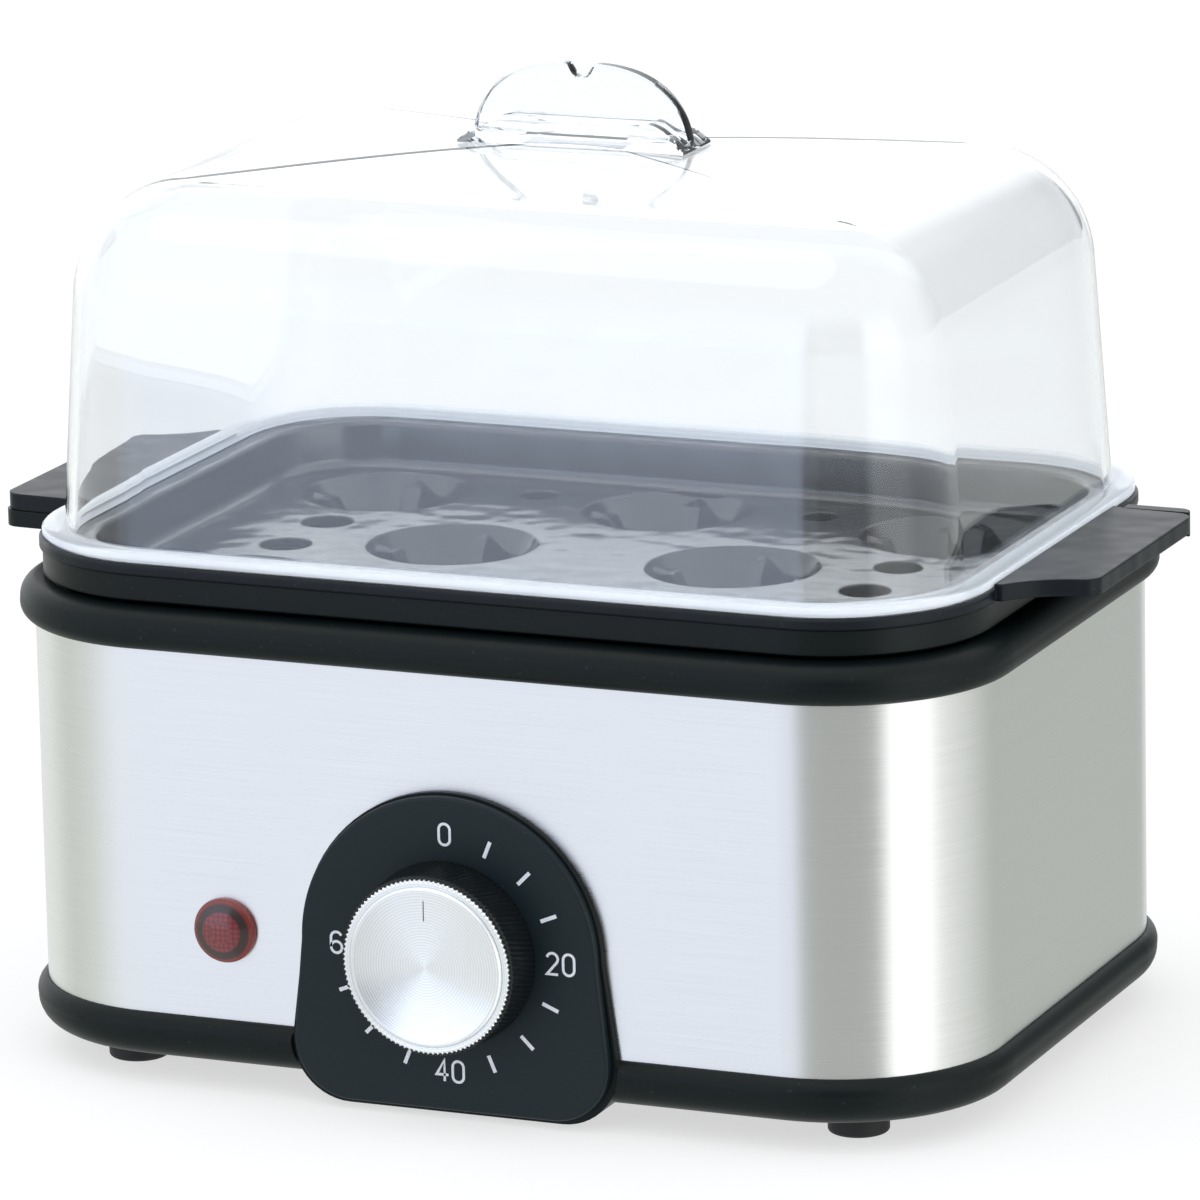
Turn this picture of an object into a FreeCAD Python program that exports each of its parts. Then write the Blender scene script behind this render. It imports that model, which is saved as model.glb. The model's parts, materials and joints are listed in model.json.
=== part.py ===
"""Egg cooker: steel-clad base with a water pan and clockwork timer, two nested trays and a clear lid.

Each function returns one sub-part. Lengths are in millimetres, heights are above the table, -Y is the
front with the dial, and the origin lies on the table under the middle of the body.
"""

import FreeCAD, Part
import math
import os

Vector = FreeCAD.Vector
UP = Vector(0, 0, 1)
BACKWARDS = Vector(0, 1, 0)
RIGHTWARDS = Vector(1, 0, 0)

# Driving dimensions of the body. Every wall is placed by its distance out from the steel outline.
steel_half_width = 110.0
steel_half_depth = 78.5
steel_corner = 36.0
steel_sheet = 0.8
running_gap = 0.1

# Heights of the stack.
band_low = 5.7
steel_low = 16.0
steel_high = 96.5
rim_high = steel_high + 9.0
apron_low = rim_high + 1.0
steam_rim_high = apron_low + 5.5
egg_rim_high = steam_rim_high + 2.5
flange_thickness = 2.0
lid_top = 196.0
fin_height = 17.0

# Base moulding.
floor_low = 6.3
floor_high = 8.5
groove_low = 13.5
inner_wall_high = 23.5
band_bulge = 2.3
foot_spots = [(x, y) for x in (-84.0, 84.0) for y in (-60.0, 60.0)]
foot_radius = 6.6
foot_peg_radius = 3.0
post_inset = 6.5
post_spots = [(side * (steel_half_width - post_inset), y) for side in (-1, 1) for y in (-36.0, 36.0)]
post_radius = 4.0
screw_radius = 1.45
screw_head_radius = 3.0

# Water pan, its ledge in the rim, and the heater below it.
rim_bulge = 3.2
ledge_high = 94.5
ledge_low = 92.0
ledge_inset = 12.5
gasket_thickness = 1.0
pan_sheet = 1.0
pan_floor_high = 71.5
element_radius = 3.3
element_half_width = 60.0
element_half_depth = 30.0
bracket_thickness = 1.5
bracket_half_width = 7.0
thermostat_spot = (-30.0, 16.0)
fuse_spot = (30.0, 16.0)
earth_spot = (78.0, 18.0)

# Dial, timer and lamp on the front.
front = -steel_half_depth
dial_height = 36.9
backing_front = front - 1.5
plate_front = backing_front - 2.3
plate_top_radius = 34.0
plate_half_width = 36.3
plate_low = 2.1
chin_low = 1.0
plate_corner = 13.0
knob_radius = 20.2
knob_front = plate_front - 10.6
cap_radius = 19.1
cap_disc_radius = 17.4
cap_front = knob_front - 1.2
shaft_radius = 3.0
timer_half = 22.0
timer_front = front + 2.0
timer_back = timer_front + 26.0
timer_wall = 1.2
timer_screw_offset = 14.0
cam_radius = 12.0
lens_x = -53.3
lens_height = 36.1
lens_radius = 7.1
lens_barrel_radius = 5.8

# Cord inlet at the back, as long as the dial sticks out in front, and the terminal block inside.
gland_x = 60.0
gland_height = 33.5
cord_bore_radius = 3.6
gland_tip = -cap_front
terminal_x = 42.0
terminal_y = 48.0
terminal_pitch = 10.0

# Trays.
apron_inset = 2.0
tray_wall = 1.8
egg_floor_high = 104.3
egg_floor_thickness = 2.0
egg_wall_inset = 12.0
cup_radius = 19.0
cup_foot_radius = 12.5
cup_foot = 91.5
cup_drain_radius = 5.0
cup_spots = [(-67.0, 41.5), (0.0, 44.0), (67.0, 41.5), (-33.0, 0.0), (33.0, 0.0)]
cup_spots += [(x, -y) for x, y in cup_spots[:3]]
steam_hole_radius = 5.8
steam_hole_spots = [(x, y) for x in (-68.0, 68.0) for y in (-11.0, 11.0)]
small_steam_hole_radius = 4.6
small_steam_hole_spots = [(x, y) for x in (-33.5, 33.5) for y in (-49.0, 49.0)]
handle_reach = 127.6
handle_root_half = 41.0
handle_half = 31.0
handle_corner = 4.0
handle_rise = 1.3
left_tab_step = 0.6
left_tab_thickness = 3.6
right_tab_thickness = 1.5
right_tab_gap = 0.3
right_tab_lip = 3.4
right_tab_front = -24.0
right_tab_reach = 124.3

# Lid.
lid_wall = 2.0
lid_wall_inset = 7.0
lid_draft = 4.0
lid_shoulder = 24.0
crown_rise = 6.5
fin_half_length = 25.2
fin_half_thickness = 1.8
notch_half_width = 3.4
notch_depth = 2.9


def profile(start, *steps):
    """Closed face in the XZ plane. A step (x, z) is a line, (mx, mz, x, z) is an arc through (mx, mz)."""
    edges = []
    here = Vector(start[0], 0, start[1])
    for step in steps:
        there = Vector(step[-2], 0, step[-1])
        if len(step) == 4:
            edges.append(Part.Arc(here, Vector(step[0], 0, step[1]), there).toShape())
        else:
            edges.append(Part.LineSegment(here, there).toShape())
        here = there
    edges.append(Part.LineSegment(here, Vector(start[0], 0, start[1])).toShape())
    return Part.Face(Part.Wire(edges))


def ring(face, half_x=steel_half_width, half_y=steel_half_depth, corner=steel_corner):
    """Sweep a face around the body's rounded rectangle. The face's x is its distance out from it."""
    pieces = []
    for quarter in range(4):
        across, along = (half_x, half_y) if quarter % 2 == 0 else (half_y, half_x)
        straight = along - corner
        side = face.translated(Vector(across, -straight, 0)).extrude(Vector(0, 2 * straight, 0))
        bend_start = face.translated(Vector(across, straight, 0))
        bend = bend_start.revolve(Vector(across - corner, straight, 0), UP, 90)
        for piece in (side, bend):
            piece.rotate(Vector(), UP, 90 * quarter)
            pieces.append(piece)
    return pieces[0].fuse(pieces[1:]).removeSplitter()


def slab(inset, low, high):
    """Prism of the body's outline, moved in by the inset, between two heights."""
    half_x = steel_half_width - inset
    half_y = steel_half_depth - inset
    corner = steel_corner - inset
    block = box(-half_x, half_x, -half_y, half_y, low, high)
    uprights = [edge for edge in block.Edges if abs(edge.BoundBox.ZLength - (high - low)) < 1e-6]
    return block.makeFillet(corner, uprights)


def box(x0, x1, y0, y1, z0, z1):
    return Part.makeBox(x1 - x0, y1 - y0, z1 - z0, Vector(x0, y0, z0))


def upright(radius, x, y, low, high):
    return Part.makeCylinder(radius, high - low, Vector(x, y, low), UP)


def through_front(radius, x, height, y0, y1):
    """Cylinder along Y, from y0 back to y1."""
    return Part.makeCylinder(radius, y1 - y0, Vector(x, y0, height), BACKWARDS)


def screw(radius, head_radius, head_height, length, tip, axis):
    """Pan-head screw whose head lies at the tip's far end: the tip points along the axis."""
    seat = tip - axis * length
    shank = Part.makeCylinder(radius, length, seat, axis)
    head = Part.makeCylinder(head_radius, head_height, seat - axis * head_height, axis)
    head = head.makeFillet(head_height * 0.4, [head.Edges[0]])
    slot_depth = head_height * 0.5
    slot = box(-head_radius, head_radius, -0.4, 0.4, 0, slot_depth)
    slot.Placement = FreeCAD.Placement(seat - axis * head_height, FreeCAD.Rotation(UP, axis))
    return shank.fuse(head).cut(slot)


def smooth_wire(radius, points):
    """Round wire along a smooth curve through the points."""
    curve = Part.BSplineCurve()
    curve.interpolate([Vector(*point) for point in points])
    path = Part.Wire([curve.toShape()])
    direction = curve.tangent(curve.FirstParameter)[0]
    circle = Part.Wire([Part.makeCircle(radius, Vector(*points[0]), direction)])
    return path.makePipeShell([circle], True, True)


def dial_outline(radius, half, low, y0, y1):
    """Dial plate shape: half round above the shaft, sides that flare a little, round lower corners."""
    corner = plate_corner
    cut = corner * (1 - math.sqrt(0.5))
    face = profile(
        (-radius, dial_height),
        (0, dial_height + radius, radius, dial_height),
        (half, low + corner),
        (half - cut, low + cut, half - corner, low),
        (corner - half, low),
        (cut - half, low + cut, -half, low + corner),
    )
    return face.translated(Vector(0, y0, 0)).extrude(Vector(0, y1 - y0, 0))


def backing_outline(y0, y1):
    """The same shape a little larger, most of all at its foot."""
    return dial_outline(plate_top_radius + 0.5, plate_half_width + 1.3, chin_low, y0, y1)


# Base body


def base_shell():
    """Bottom moulding: bulged band, floor, inner wall for the steel, and the backing of the dial."""
    band = ring(
        profile(
            (-12, band_low),
            (-3.5, band_low),
            (1.0, band_low + 2.2, band_bulge, band_low + 6.2),
            (1.7, steel_low - 1.2, 0.1, steel_low),
            (0.1, groove_low),
            (-0.95, groove_low),
            (-0.95, inner_wall_high),
            (-2.95, inner_wall_high),
            (-2.95, floor_high),
            (-12, floor_high),
        )
    )
    shell = band.fuse(slab(11, floor_low, floor_high))
    backing = backing_outline(backing_front, front - running_gap)
    chin = backing_outline(backing_front, front + 9).common(box(-60, 60, -90, -60, 0, groove_low - 0.1))
    shell = shell.fuse([backing, chin])
    boss_high = inner_wall_high
    for x, y in post_spots:
        shell = shell.fuse(upright(post_radius + 0.5, x, y, floor_low, boss_high))
    for x, y in foot_spots:
        shell = shell.fuse(upright(foot_radius + 2.4, x, y, band_low - 1.0, floor_high))
        shell = shell.cut(upright(foot_peg_radius, x, y, 0, floor_high + 1))
    shell = shell.cut(backing_outline(-100, backing_front))
    timer_bay = timer_half + 0.5
    shell = shell.cut(box(-timer_bay, timer_bay, front + 0.96, timer_back, dial_height - timer_bay, 60))
    for x, y in post_spots:
        shell = shell.cut(upright(screw_head_radius + 0.4, x, y, 0, boss_high - 6))
        shell = shell.cut(upright(screw_radius + 0.2, x, y, 0, boss_high + 1))
    for k in range(-3, 4):
        shell = shell.cut(box(12 * k - 2, 12 * k + 2, -10, 30, 0, floor_high + 1))
    shell = shell.cut(through_front(shaft_radius + 2, 0, dial_height, -90, front + 1))
    for side in (-1, 1):
        shell = shell.cut(through_front(1.7, side * timer_screw_offset, dial_height, -90, front + 1))
    return shell.removeSplitter()


def steel_wrap():
    """Brushed steel sleeve with the holes for the lamp, the timer and the cord gland."""
    sleeve = ring(
        profile(
            (-steel_sheet, groove_low + running_gap),
            (0, groove_low + running_gap),
            (0, steel_high + 2.4),
            (-steel_sheet, steel_high + 2.4),
        )
    )
    sleeve = sleeve.cut(through_front(lens_barrel_radius + 0.1, lens_x, lens_height, front - 2, front + 4))
    sleeve = sleeve.cut(through_front(shaft_radius + 2, 0, dial_height, front - 2, front + 4))
    for side in (-1, 1):
        spot = side * timer_screw_offset
        sleeve = sleeve.cut(through_front(1.7, spot, dial_height, front - 2, front + 4))
    return sleeve.cut(through_front(6.0, gland_x, gland_height, -front - 4, -front + 2))


def top_rim():
    """Upper moulding: bulged rim, well for the trays, ledge for the pan, posts for the base screws."""
    rim = ring(
        profile(
            (0.1, steel_high),
            (1.9, steel_high + 0.7, rim_bulge, steel_high + 4.2),
            (1.9, rim_high - 1.3, -1.4, rim_high),
            (-3.4, rim_high),
            (-4.1, rim_high - 0.7),
            (-5.0, ledge_high),
            (-ledge_inset, ledge_high),
            (-ledge_inset, ledge_low),
            (-0.95, ledge_low),
            (-0.95, steel_high + 2.5),
            (0.1, steel_high + 2.5),
        )
    )
    for x, y in post_spots:
        rim = rim.fuse(upright(post_radius, x, y, inner_wall_high + running_gap, ledge_low + 1))
        rim = rim.cut(upright(screw_radius, x, y, inner_wall_high, inner_wall_high + 14))
    for side in (-1, 1):
        x = side * (steel_half_width - post_inset)
        rim = rim.fuse(upright(post_radius, x, 0, bracket_seat() + running_gap, ledge_low + 1))
        rim = rim.cut(upright(screw_radius, x, 0, bracket_seat(), ledge_low))
    return rim.removeSplitter()


def bracket_seat():
    return ledge_low - 4.5


def pan_gasket():
    """Silicone ring that seals the pan's flange to the ledge."""
    return ring(
        profile(
            (-11.6, ledge_high),
            (-6.2, ledge_high),
            (-6.2, ledge_high + gasket_thickness),
            (-11.6, ledge_high + gasket_thickness),
        )
    )


def heating_pan():
    """Pressed water pan: flange, sloping wall, rounded foot and flat floor with a raised centre pad."""
    low = ledge_high + gasket_thickness
    top = low + pan_sheet
    under = pan_floor_high - pan_sheet
    wall = ring(
        profile(
            (-5.7, top),
            (-13.3, top),
            (-15.6, pan_floor_high + 5),
            (-17.0, pan_floor_high + 1.4, -20.5, pan_floor_high),
            (-26, pan_floor_high),
            (-26, under),
            (-20.4, under),
            (-16.3, under + 1.7, -14.6, pan_floor_high + 5),
            (-12.4, low),
            (-5.7, low),
        )
    )
    pad = Part.makeCone(22, 20, 1.0, Vector(0, 0, pan_floor_high), UP)
    return wall.fuse([slab(25, under, pan_floor_high), pad]).removeSplitter()


def heating_element():
    """Sheathed heater: one loop under the pan, with both cold ends bent down at the back."""
    level = pan_floor_high - pan_sheet - element_radius
    half_x = element_half_width
    half_y = element_half_depth
    bend = 22.0
    gap = 14.0
    drop = 8.0
    cut = bend * (1 - math.sqrt(0.5))
    drop_cut = drop * (1 - math.sqrt(0.5))

    def line(a, b):
        return Part.LineSegment(Vector(*a), Vector(*b)).toShape()

    def arc(a, b, c):
        return Part.Arc(Vector(*a), Vector(*b), Vector(*c)).toShape()

    def cold_end(side):
        x = side * gap
        inner = x - side * drop
        return [
            line((inner, half_y, level - drop - 4), (inner, half_y, level - drop)),
            arc(
                (inner, half_y, level - drop),
                (inner + side * drop_cut, half_y, level - drop_cut),
                (x, half_y, level),
            ),
            line((x, half_y, level), (side * (half_x - bend), half_y, level)),
            arc(
                (side * (half_x - bend), half_y, level),
                (side * (half_x - cut), half_y - cut, level),
                (side * half_x, half_y - bend, level),
            ),
            line((side * half_x, half_y - bend, level), (side * half_x, bend - half_y, level)),
            arc(
                (side * half_x, bend - half_y, level),
                (side * (half_x - cut), cut - half_y, level),
                (side * (half_x - bend), -half_y, level),
            ),
        ]

    edges = cold_end(1) + [line((half_x - bend, -half_y, level), (bend - half_x, -half_y, level))]
    edges += reversed(cold_end(-1))
    path = Part.Wire(edges)
    start = Vector(gap - drop, half_y, level - drop - 4)
    circle = Part.Wire([Part.makeCircle(element_radius, start, UP)])
    return path.makePipeShell([circle], True, False)


def pan_bracket():
    """Folded steel strap that presses the heater against the pan, with a lug under each side of the rim."""
    strap_high = pan_floor_high - pan_sheet - 2 * element_radius
    seat = bracket_seat()
    leg = steel_half_width - post_inset - post_radius
    lug = leg + 8
    t = bracket_thickness
    strap = profile(
        (-lug, seat),
        (-lug, seat - t),
        (-leg, seat - t),
        (-leg, strap_high - t),
        (leg, strap_high - t),
        (leg, seat - t),
        (lug, seat - t),
        (lug, seat),
        (leg - t, seat),
        (leg - t, strap_high),
        (t - leg, strap_high),
        (t - leg, seat),
    )
    strap = strap.translated(Vector(0, -bracket_half_width, 0))
    strap = strap.extrude(Vector(0, 2 * bracket_half_width, 0))
    for side in (-1, 1):
        x = side * (steel_half_width - post_inset)
        strap = strap.cut(upright(screw_radius + 0.2, x, 0, seat - 2 * t, seat + 1))
    return strap


def bracket_screws():
    """Screws that hold the strap's lugs to the rim."""
    seat = bracket_seat() - bracket_thickness
    x = steel_half_width - post_inset
    tip = seat + bracket_thickness + 4.3
    return Part.makeCompound(
        [screw(screw_radius, 2.7, 1.8, tip - seat, Vector(side * x, 0, tip), UP) for side in (-1, 1)]
    )


def thermostat():
    """Boil-dry cut-out: disc against the pan with a ceramic body and two blade terminals."""
    x, y = thermostat_spot
    under = pan_floor_high - pan_sheet
    body = upright(7.5, x, y, under - 1.5, under).fuse(upright(6.5, x, y, under - 7, under - 1.5))
    for side in (-1, 1):
        blade_x = x + side * 4
        body = body.fuse(box(blade_x - 0.4, blade_x + 0.4, y - 2.2, y + 2.2, under - 15, under - 7))
    return body


def thermal_fuse():
    """Thermal fuse in its glass-fibre sleeve, with the crimped ends of its leads."""
    x, y = fuse_spot
    height = pan_floor_high - pan_sheet - 3.0
    sleeve = Part.makeCylinder(2.4, 20, Vector(x - 10, y, height), RIGHTWARDS)
    leads = Part.makeCylinder(0.6, 30, Vector(x - 15, y, height), RIGHTWARDS)
    return sleeve.fuse(leads)


def fuse_clip():
    """Bent clip that holds the thermal fuse up against the pan."""
    x, y = fuse_spot
    height = pan_floor_high - pan_sheet - 3.0
    hoop = Part.makeCylinder(3.0, 6, Vector(x - 3, y, height), RIGHTWARDS)
    hoop = hoop.cut(Part.makeCylinder(2.4, 6, Vector(x - 3, y, height), RIGHTWARDS))
    tab = box(x - 3, x + 3, y - 7, y - 0.5, height + 2.4, height + 3.0)
    return hoop.fuse(tab)


def timer_case():
    """Sheet-metal case of the clockwork timer, with its mounting face, bush and terminal slots."""
    outer = box(
        -timer_half, timer_half, timer_front, timer_back, dial_height - timer_half, dial_height + timer_half
    )
    inside = timer_half - timer_wall
    cavity = box(
        -inside,
        inside,
        timer_front + timer_wall,
        timer_back - timer_wall,
        dial_height - inside,
        dial_height + inside,
    )
    case = outer.cut(cavity)
    bush = through_front(shaft_radius + 1.6, 0, dial_height, front - 0.4, timer_front + timer_wall)
    case = case.fuse(bush)
    case = case.cut(through_front(shaft_radius + running_gap, 0, dial_height, front - 3, timer_front + 5))
    for side in (-1, 1):
        spot = side * timer_screw_offset
        lug = through_front(3.2, spot, dial_height, front + steel_sheet + running_gap, timer_front + 0.5)
        case = case.fuse(lug)
    for side in (-1, 1):
        spot = side * timer_screw_offset
        case = case.cut(through_front(1.2, spot, dial_height, front - 1, timer_front + timer_wall + 1))
    top = dial_height + timer_half
    return case.cut(box(-9, 9, timer_front + 4, timer_front + 10, top - timer_wall - 1, top + 8))


def timer_movement():
    """Riveted clockwork: front and back plates on four pillars around the spring barrel."""
    low = timer_front + 11.0
    high = timer_back - timer_wall - running_gap
    half = timer_half - timer_wall - 0.8
    plates = []
    for y in (low, high - 1.2):
        plates.append(box(-half, half, y, y + 1.2, dial_height - half, dial_height + half))
    movement = plates[0].fuse(plates[1])
    for x in (-half + 3, half - 3):
        for z in (-half + 3, half - 3):
            movement = movement.fuse(through_front(2.0, x, dial_height + z, low, high))
    barrel = through_front(11.0, 0, dial_height, low + 2.2, high - 2.2)
    barrel = barrel.fuse(through_front(5.0, 0, dial_height, low, high))
    movement = movement.fuse(barrel)
    return movement.cut(through_front(shaft_radius + 0.1, 0, dial_height, low - 1, high - 1.4))


def timer_contacts():
    """Pair of brass spring contacts above the cam, with the terminal tabs that come out of the case."""
    y0 = timer_front + 5.0
    y1 = timer_front + 9.0
    above_cam = dial_height + cam_radius + 0.5
    tab_top = dial_height + timer_half + 7
    strips = []
    for low, x0, x1, tab_x in ((above_cam, -9.0, 6.0, -9.0), (above_cam + 3.0, -6.0, 3.8, 3.0)):
        strip = box(x0, x1, y0, y1, low, low + 0.5)
        tab = box(tab_x, tab_x + 0.8, y0, y1, low, tab_top)
        strips.append(strip.fuse(tab))
    return Part.makeCompound(strips)


def timer_bell():
    """Domed steel bell on the back of the timer."""
    rim_y = timer_back + 9.0
    dome = profile((0, 0), (12.5, 0), (16.0, 2.0, 17.0, 8.0), (16.0, 8.0), (15.0, 2.7, 12.0, 1.0), (0, 1.0))
    bell = dome.revolve(Vector(), UP, 360)
    bell.rotate(Vector(), RIGHTWARDS, 90)
    bell.translate(Vector(0, rim_y, dial_height))
    pillar = through_front(3.0, 0, dial_height, timer_back, rim_y - 1.0)
    return bell.fuse(pillar)


def timer_screws():
    """Countersunk screws through the dial plate into the timer."""
    screws = []
    for side in (-1, 1):
        spot = side * timer_screw_offset
        shank = through_front(1.2, spot, dial_height, plate_front + 0.6, timer_front + 1)
        head = Part.makeCone(2.6, 1.2, 1.5, Vector(spot, plate_front + 0.2, dial_height), BACKWARDS)
        slot = box(spot - 3, spot + 3, plate_front, plate_front + 0.8, dial_height - 0.4, dial_height + 0.4)
        screws.append(shank.fuse(head).cut(slot))
    return Part.makeCompound(screws)


def dial_plate():
    """Black scale plate with softened front edge, holes for the shaft and its two screws."""
    plate = dial_outline(plate_top_radius, plate_half_width, plate_low, plate_front, backing_front)
    rim_edges = [edge for edge in plate.Edges if abs(edge.BoundBox.YMax - plate_front) < 1e-4]
    plate = plate.makeFillet(0.7, rim_edges)
    plate = plate.cut(through_front(shaft_radius + 2, 0, dial_height, -90, front + 1))
    for side in (-1, 1):
        spot = side * timer_screw_offset
        plate = plate.cut(through_front(1.3, spot, dial_height, -90, front + 1))
        plate = plate.cut(Part.makeCone(2.8, 1.3, 1.7, Vector(spot, plate_front, dial_height), BACKWARDS))
    return plate


def pilot_lens():
    """Red lamp lens: domed rim and face outside the steel, hollow barrel inside."""
    collar = 1.4
    rise = 1.9
    sphere_radius = (lens_radius**2 + rise**2) / (2 * rise)
    sphere_centre = Vector(lens_x, front - collar - rise + sphere_radius, lens_height)
    head = through_front(lens_radius, lens_x, lens_height, front - 6, front - running_gap)
    head = head.common(Part.makeSphere(sphere_radius, sphere_centre))
    barrel = through_front(lens_barrel_radius, lens_x, lens_height, front - 0.5, front + 13)
    bore = through_front(lens_barrel_radius - 1.2, lens_x, lens_height, front + 1.5, front + 14)
    return head.fuse(barrel).cut(bore)


def lens_clip():
    """Spring ring that grips the lens barrel behind the steel."""
    y0 = front + steel_sheet + running_gap
    outer = through_front(9.5, lens_x, lens_height, y0, y0 + 0.6)
    return outer.cut(through_front(lens_barrel_radius, lens_x, lens_height, y0 - 1, y0 + 2))


def neon_lamp():
    """Neon bulb inside the lens barrel, with its two wire leads."""
    y0 = front + 3.0
    bulb = through_front(3.0, lens_x, lens_height, y0 + 3.0, y0 + 13.0)
    tip = Part.makeSphere(3.0, Vector(lens_x, y0 + 3.0, lens_height))
    lamp = bulb.fuse(tip)
    for side in (-1, 1):
        lamp = lamp.fuse(through_front(0.5, lens_x + side * 1.5, lens_height, y0 + 12, y0 + 20))
    return lamp.removeSplitter()


def lamp_holder():
    """Sleeve that plugs the barrel and carries the bulb."""
    y0 = front + 11.0
    plug = through_front(lens_barrel_radius - 1.25, lens_x, lens_height, y0, y0 + 3)
    cap = through_front(lens_barrel_radius + 0.8, lens_x, lens_height, y0 + 2.1, y0 + 7)
    holder = plug.fuse(cap)
    holder = holder.cut(through_front(3.05, lens_x, lens_height, y0 - 1, y0 + 5.2))
    for side in (-1, 1):
        holder = holder.cut(through_front(0.6, lens_x + side * 1.5, lens_height, y0, y0 + 9))
    return holder


def lamp_resistor():
    """Dropping resistor in line with one lead of the bulb."""
    x = lens_x + 1.5
    body = through_front(1.6, x, lens_height, front + 25, front + 32)
    leads = through_front(0.35, x, lens_height, front + 23, front + 34)
    end_beads = [Part.makeSphere(1.7, Vector(x, front + y, lens_height)) for y in (25, 32)]
    return body.fuse([leads] + end_beads)


def terminal_block():
    """Three-way terminal block on the floor, with a bore for each wire and a well for each screw."""
    half = 1.5 * terminal_pitch
    block = box(
        terminal_x - half, terminal_x + half, terminal_y - 7, terminal_y + 7, floor_high, floor_high + 13
    )
    for k in (-1, 0, 1):
        x = terminal_x + k * terminal_pitch
        block = block.cut(through_front(2.2, x, floor_high + 6, terminal_y - 8, terminal_y + 8))
        block = block.cut(upright(2.0, x, terminal_y + 3.5, floor_high + 6, floor_high + 14))
    return block


def terminal_screws():
    """Clamp screws of the terminal block."""
    screws = []
    for k in (-1, 0, 1):
        x = terminal_x + k * terminal_pitch
        tip = Vector(x, terminal_y + 3.5, floor_high + 7.6)
        screws.append(screw(1.4, 1.8, 1.2, 3.4, tip, -UP))
    return Part.makeCompound(screws)


def wires():
    """Routes of the inner wires, each held at both ends, with the radius of its sleeve."""
    block_front = terminal_y - 6.5
    entry = floor_high + 6
    level = pan_floor_high - pan_sheet - element_radius
    tabs = dial_height + timer_half + 7.2
    tab_y = timer_front + 7.0
    blade = pan_floor_high - pan_sheet - 15.2
    tx, ty = thermostat_spot
    cold = 6.0
    cold_low = level - 12.4
    return {
        "live_wire": (1.1, [
            (terminal_x - 10, block_front, entry), (terminal_x - 10, 28, 13), (32, 0, 14),
            (32, -38, 31), (24, -60, 60), (10, -67, 71), (3.4, tab_y, tabs + 1),
        ]),
        "switched_wire": (1.1, [
            (-8.6, tab_y, tabs + 1.4), (-16, -66, 70), (-30, -50, 61), (-38, -20, 45), (tx - 6, 8, 43),
            (tx - 4, ty, blade - 1),
        ]),
        "heater_wire": (1.1, [
            (tx + 4, ty, blade), (tx + 6, ty + 3, 47), (-16, 27, 47), (-9, 30, 49), (-cold, 30, cold_low),
        ]),
        "neutral_wire": (1.1, [
            (terminal_x, block_front, entry), (terminal_x, 32, 15), (26, 28, 31), (10, 30, 45),
            (cold, 30, cold_low),
        ]),
        "earth_wire": (1.1, [
            (terminal_x + 10, block_front, entry), (62, 26, 15), (86, 20, 35), (90, 18, 57),
            (86, 18, pan_floor_high - pan_sheet - 3.8),
        ]),
        "lamp_wire": (0.8, [
            (lens_x + 1.5, front + 34.4, lens_height), (-46, -30, 29), (-20, 4, 16), (10, 26, 18),
            (24, 36, 14), (terminal_x - 16.2, block_front, entry - 1),
        ]),
        "lamp_lead": (0.8, [
            (lens_x - 1.5, front + 24, lens_height), (-56, -46, 42), (-48, -40, 50), (-30, -40, 58),
            (-18, -52, 64), (-13, -62, 66), (-9.6, tab_y + 1.5, tabs - 1),
        ]),
    }


def earth_tab():
    """Welded stud, ring tag and nut that earth the pan."""
    x, y = earth_spot
    under = pan_floor_high - pan_sheet
    tag_low = under - 2.6
    tag_high = under - 2.0
    stud = upright(1.6, x, y, under - 5, under)
    tag = upright(4.0, x, y, tag_low, tag_high).fuse(box(x, x + 9, y - 1.5, y + 1.5, tag_low, tag_high))
    corners = []
    for k in range(7):
        angle = math.radians(60 * k)
        corners.append(Vector(x + 3 * math.cos(angle), y + 3 * math.sin(angle), tag_low - 2.0))
    nut = Part.Face(Part.makePolygon(corners)).extrude(Vector(0, 0, 2.0))
    return stud.fuse([tag, nut])


def cord_gland():
    """Flanged bush in the back of the steel: a narrow bore that fits the cord, wider inside the body."""
    back = steel_half_depth
    body = through_front(5.9, gland_x, gland_height, back - 7, back + 2)
    flange = through_front(9.0, gland_x, gland_height, back + running_gap, back + 2.4)
    boot_length = gland_tip - back - 2.4
    boot = Part.makeCone(7.0, 5.0, boot_length, Vector(gland_x, back + 2.4, gland_height), BACKWARDS)
    nut = through_front(8.0, gland_x, gland_height, back - 5, back - steel_sheet - running_gap)
    gland = body.fuse([flange, boot, nut])
    relief = through_front(cord_bore_radius + 0.9, gland_x, gland_height, back - 8, back + 2.4)
    return gland.cut([relief, through_front(cord_bore_radius, gland_x, gland_height, back, gland_tip + 1)])


def feet():
    """Four rubber feet with pegs that press into the floor."""
    shapes = []
    for x, y in foot_spots:
        pad = upright(foot_radius, x, y, 0, band_low - 1.0)
        pad = pad.makeFillet(0.8, [edge for edge in pad.Edges if edge.BoundBox.ZMax < 1e-6])
        shapes.append(pad.fuse(upright(foot_peg_radius, x, y, band_low - 1.1, floor_high + 1.5)))
    return Part.makeCompound(shapes)


def base_screws():
    """Long screws that draw the base moulding up to the rim's posts."""
    seat = inner_wall_high - 6
    tip = inner_wall_high + 12
    length = tip - seat
    return Part.makeCompound(
        [screw(screw_radius, screw_head_radius, 2.2, length, Vector(x, y, tip), UP) for x, y in post_spots]
    )


# Knob body, which turns about the timer's axis


def timer_shaft():
    """Timer arbor: round through the bush and movement, with a flat where it drives the knob."""
    shaft = through_front(shaft_radius, 0, dial_height, knob_front + 3.0, timer_back - timer_wall - 1.8)
    flat = box(-4, 4, knob_front - 1, front - 2.2, dial_height + shaft_radius - 0.9, dial_height + 5)
    return shaft.cut(flat)


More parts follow.
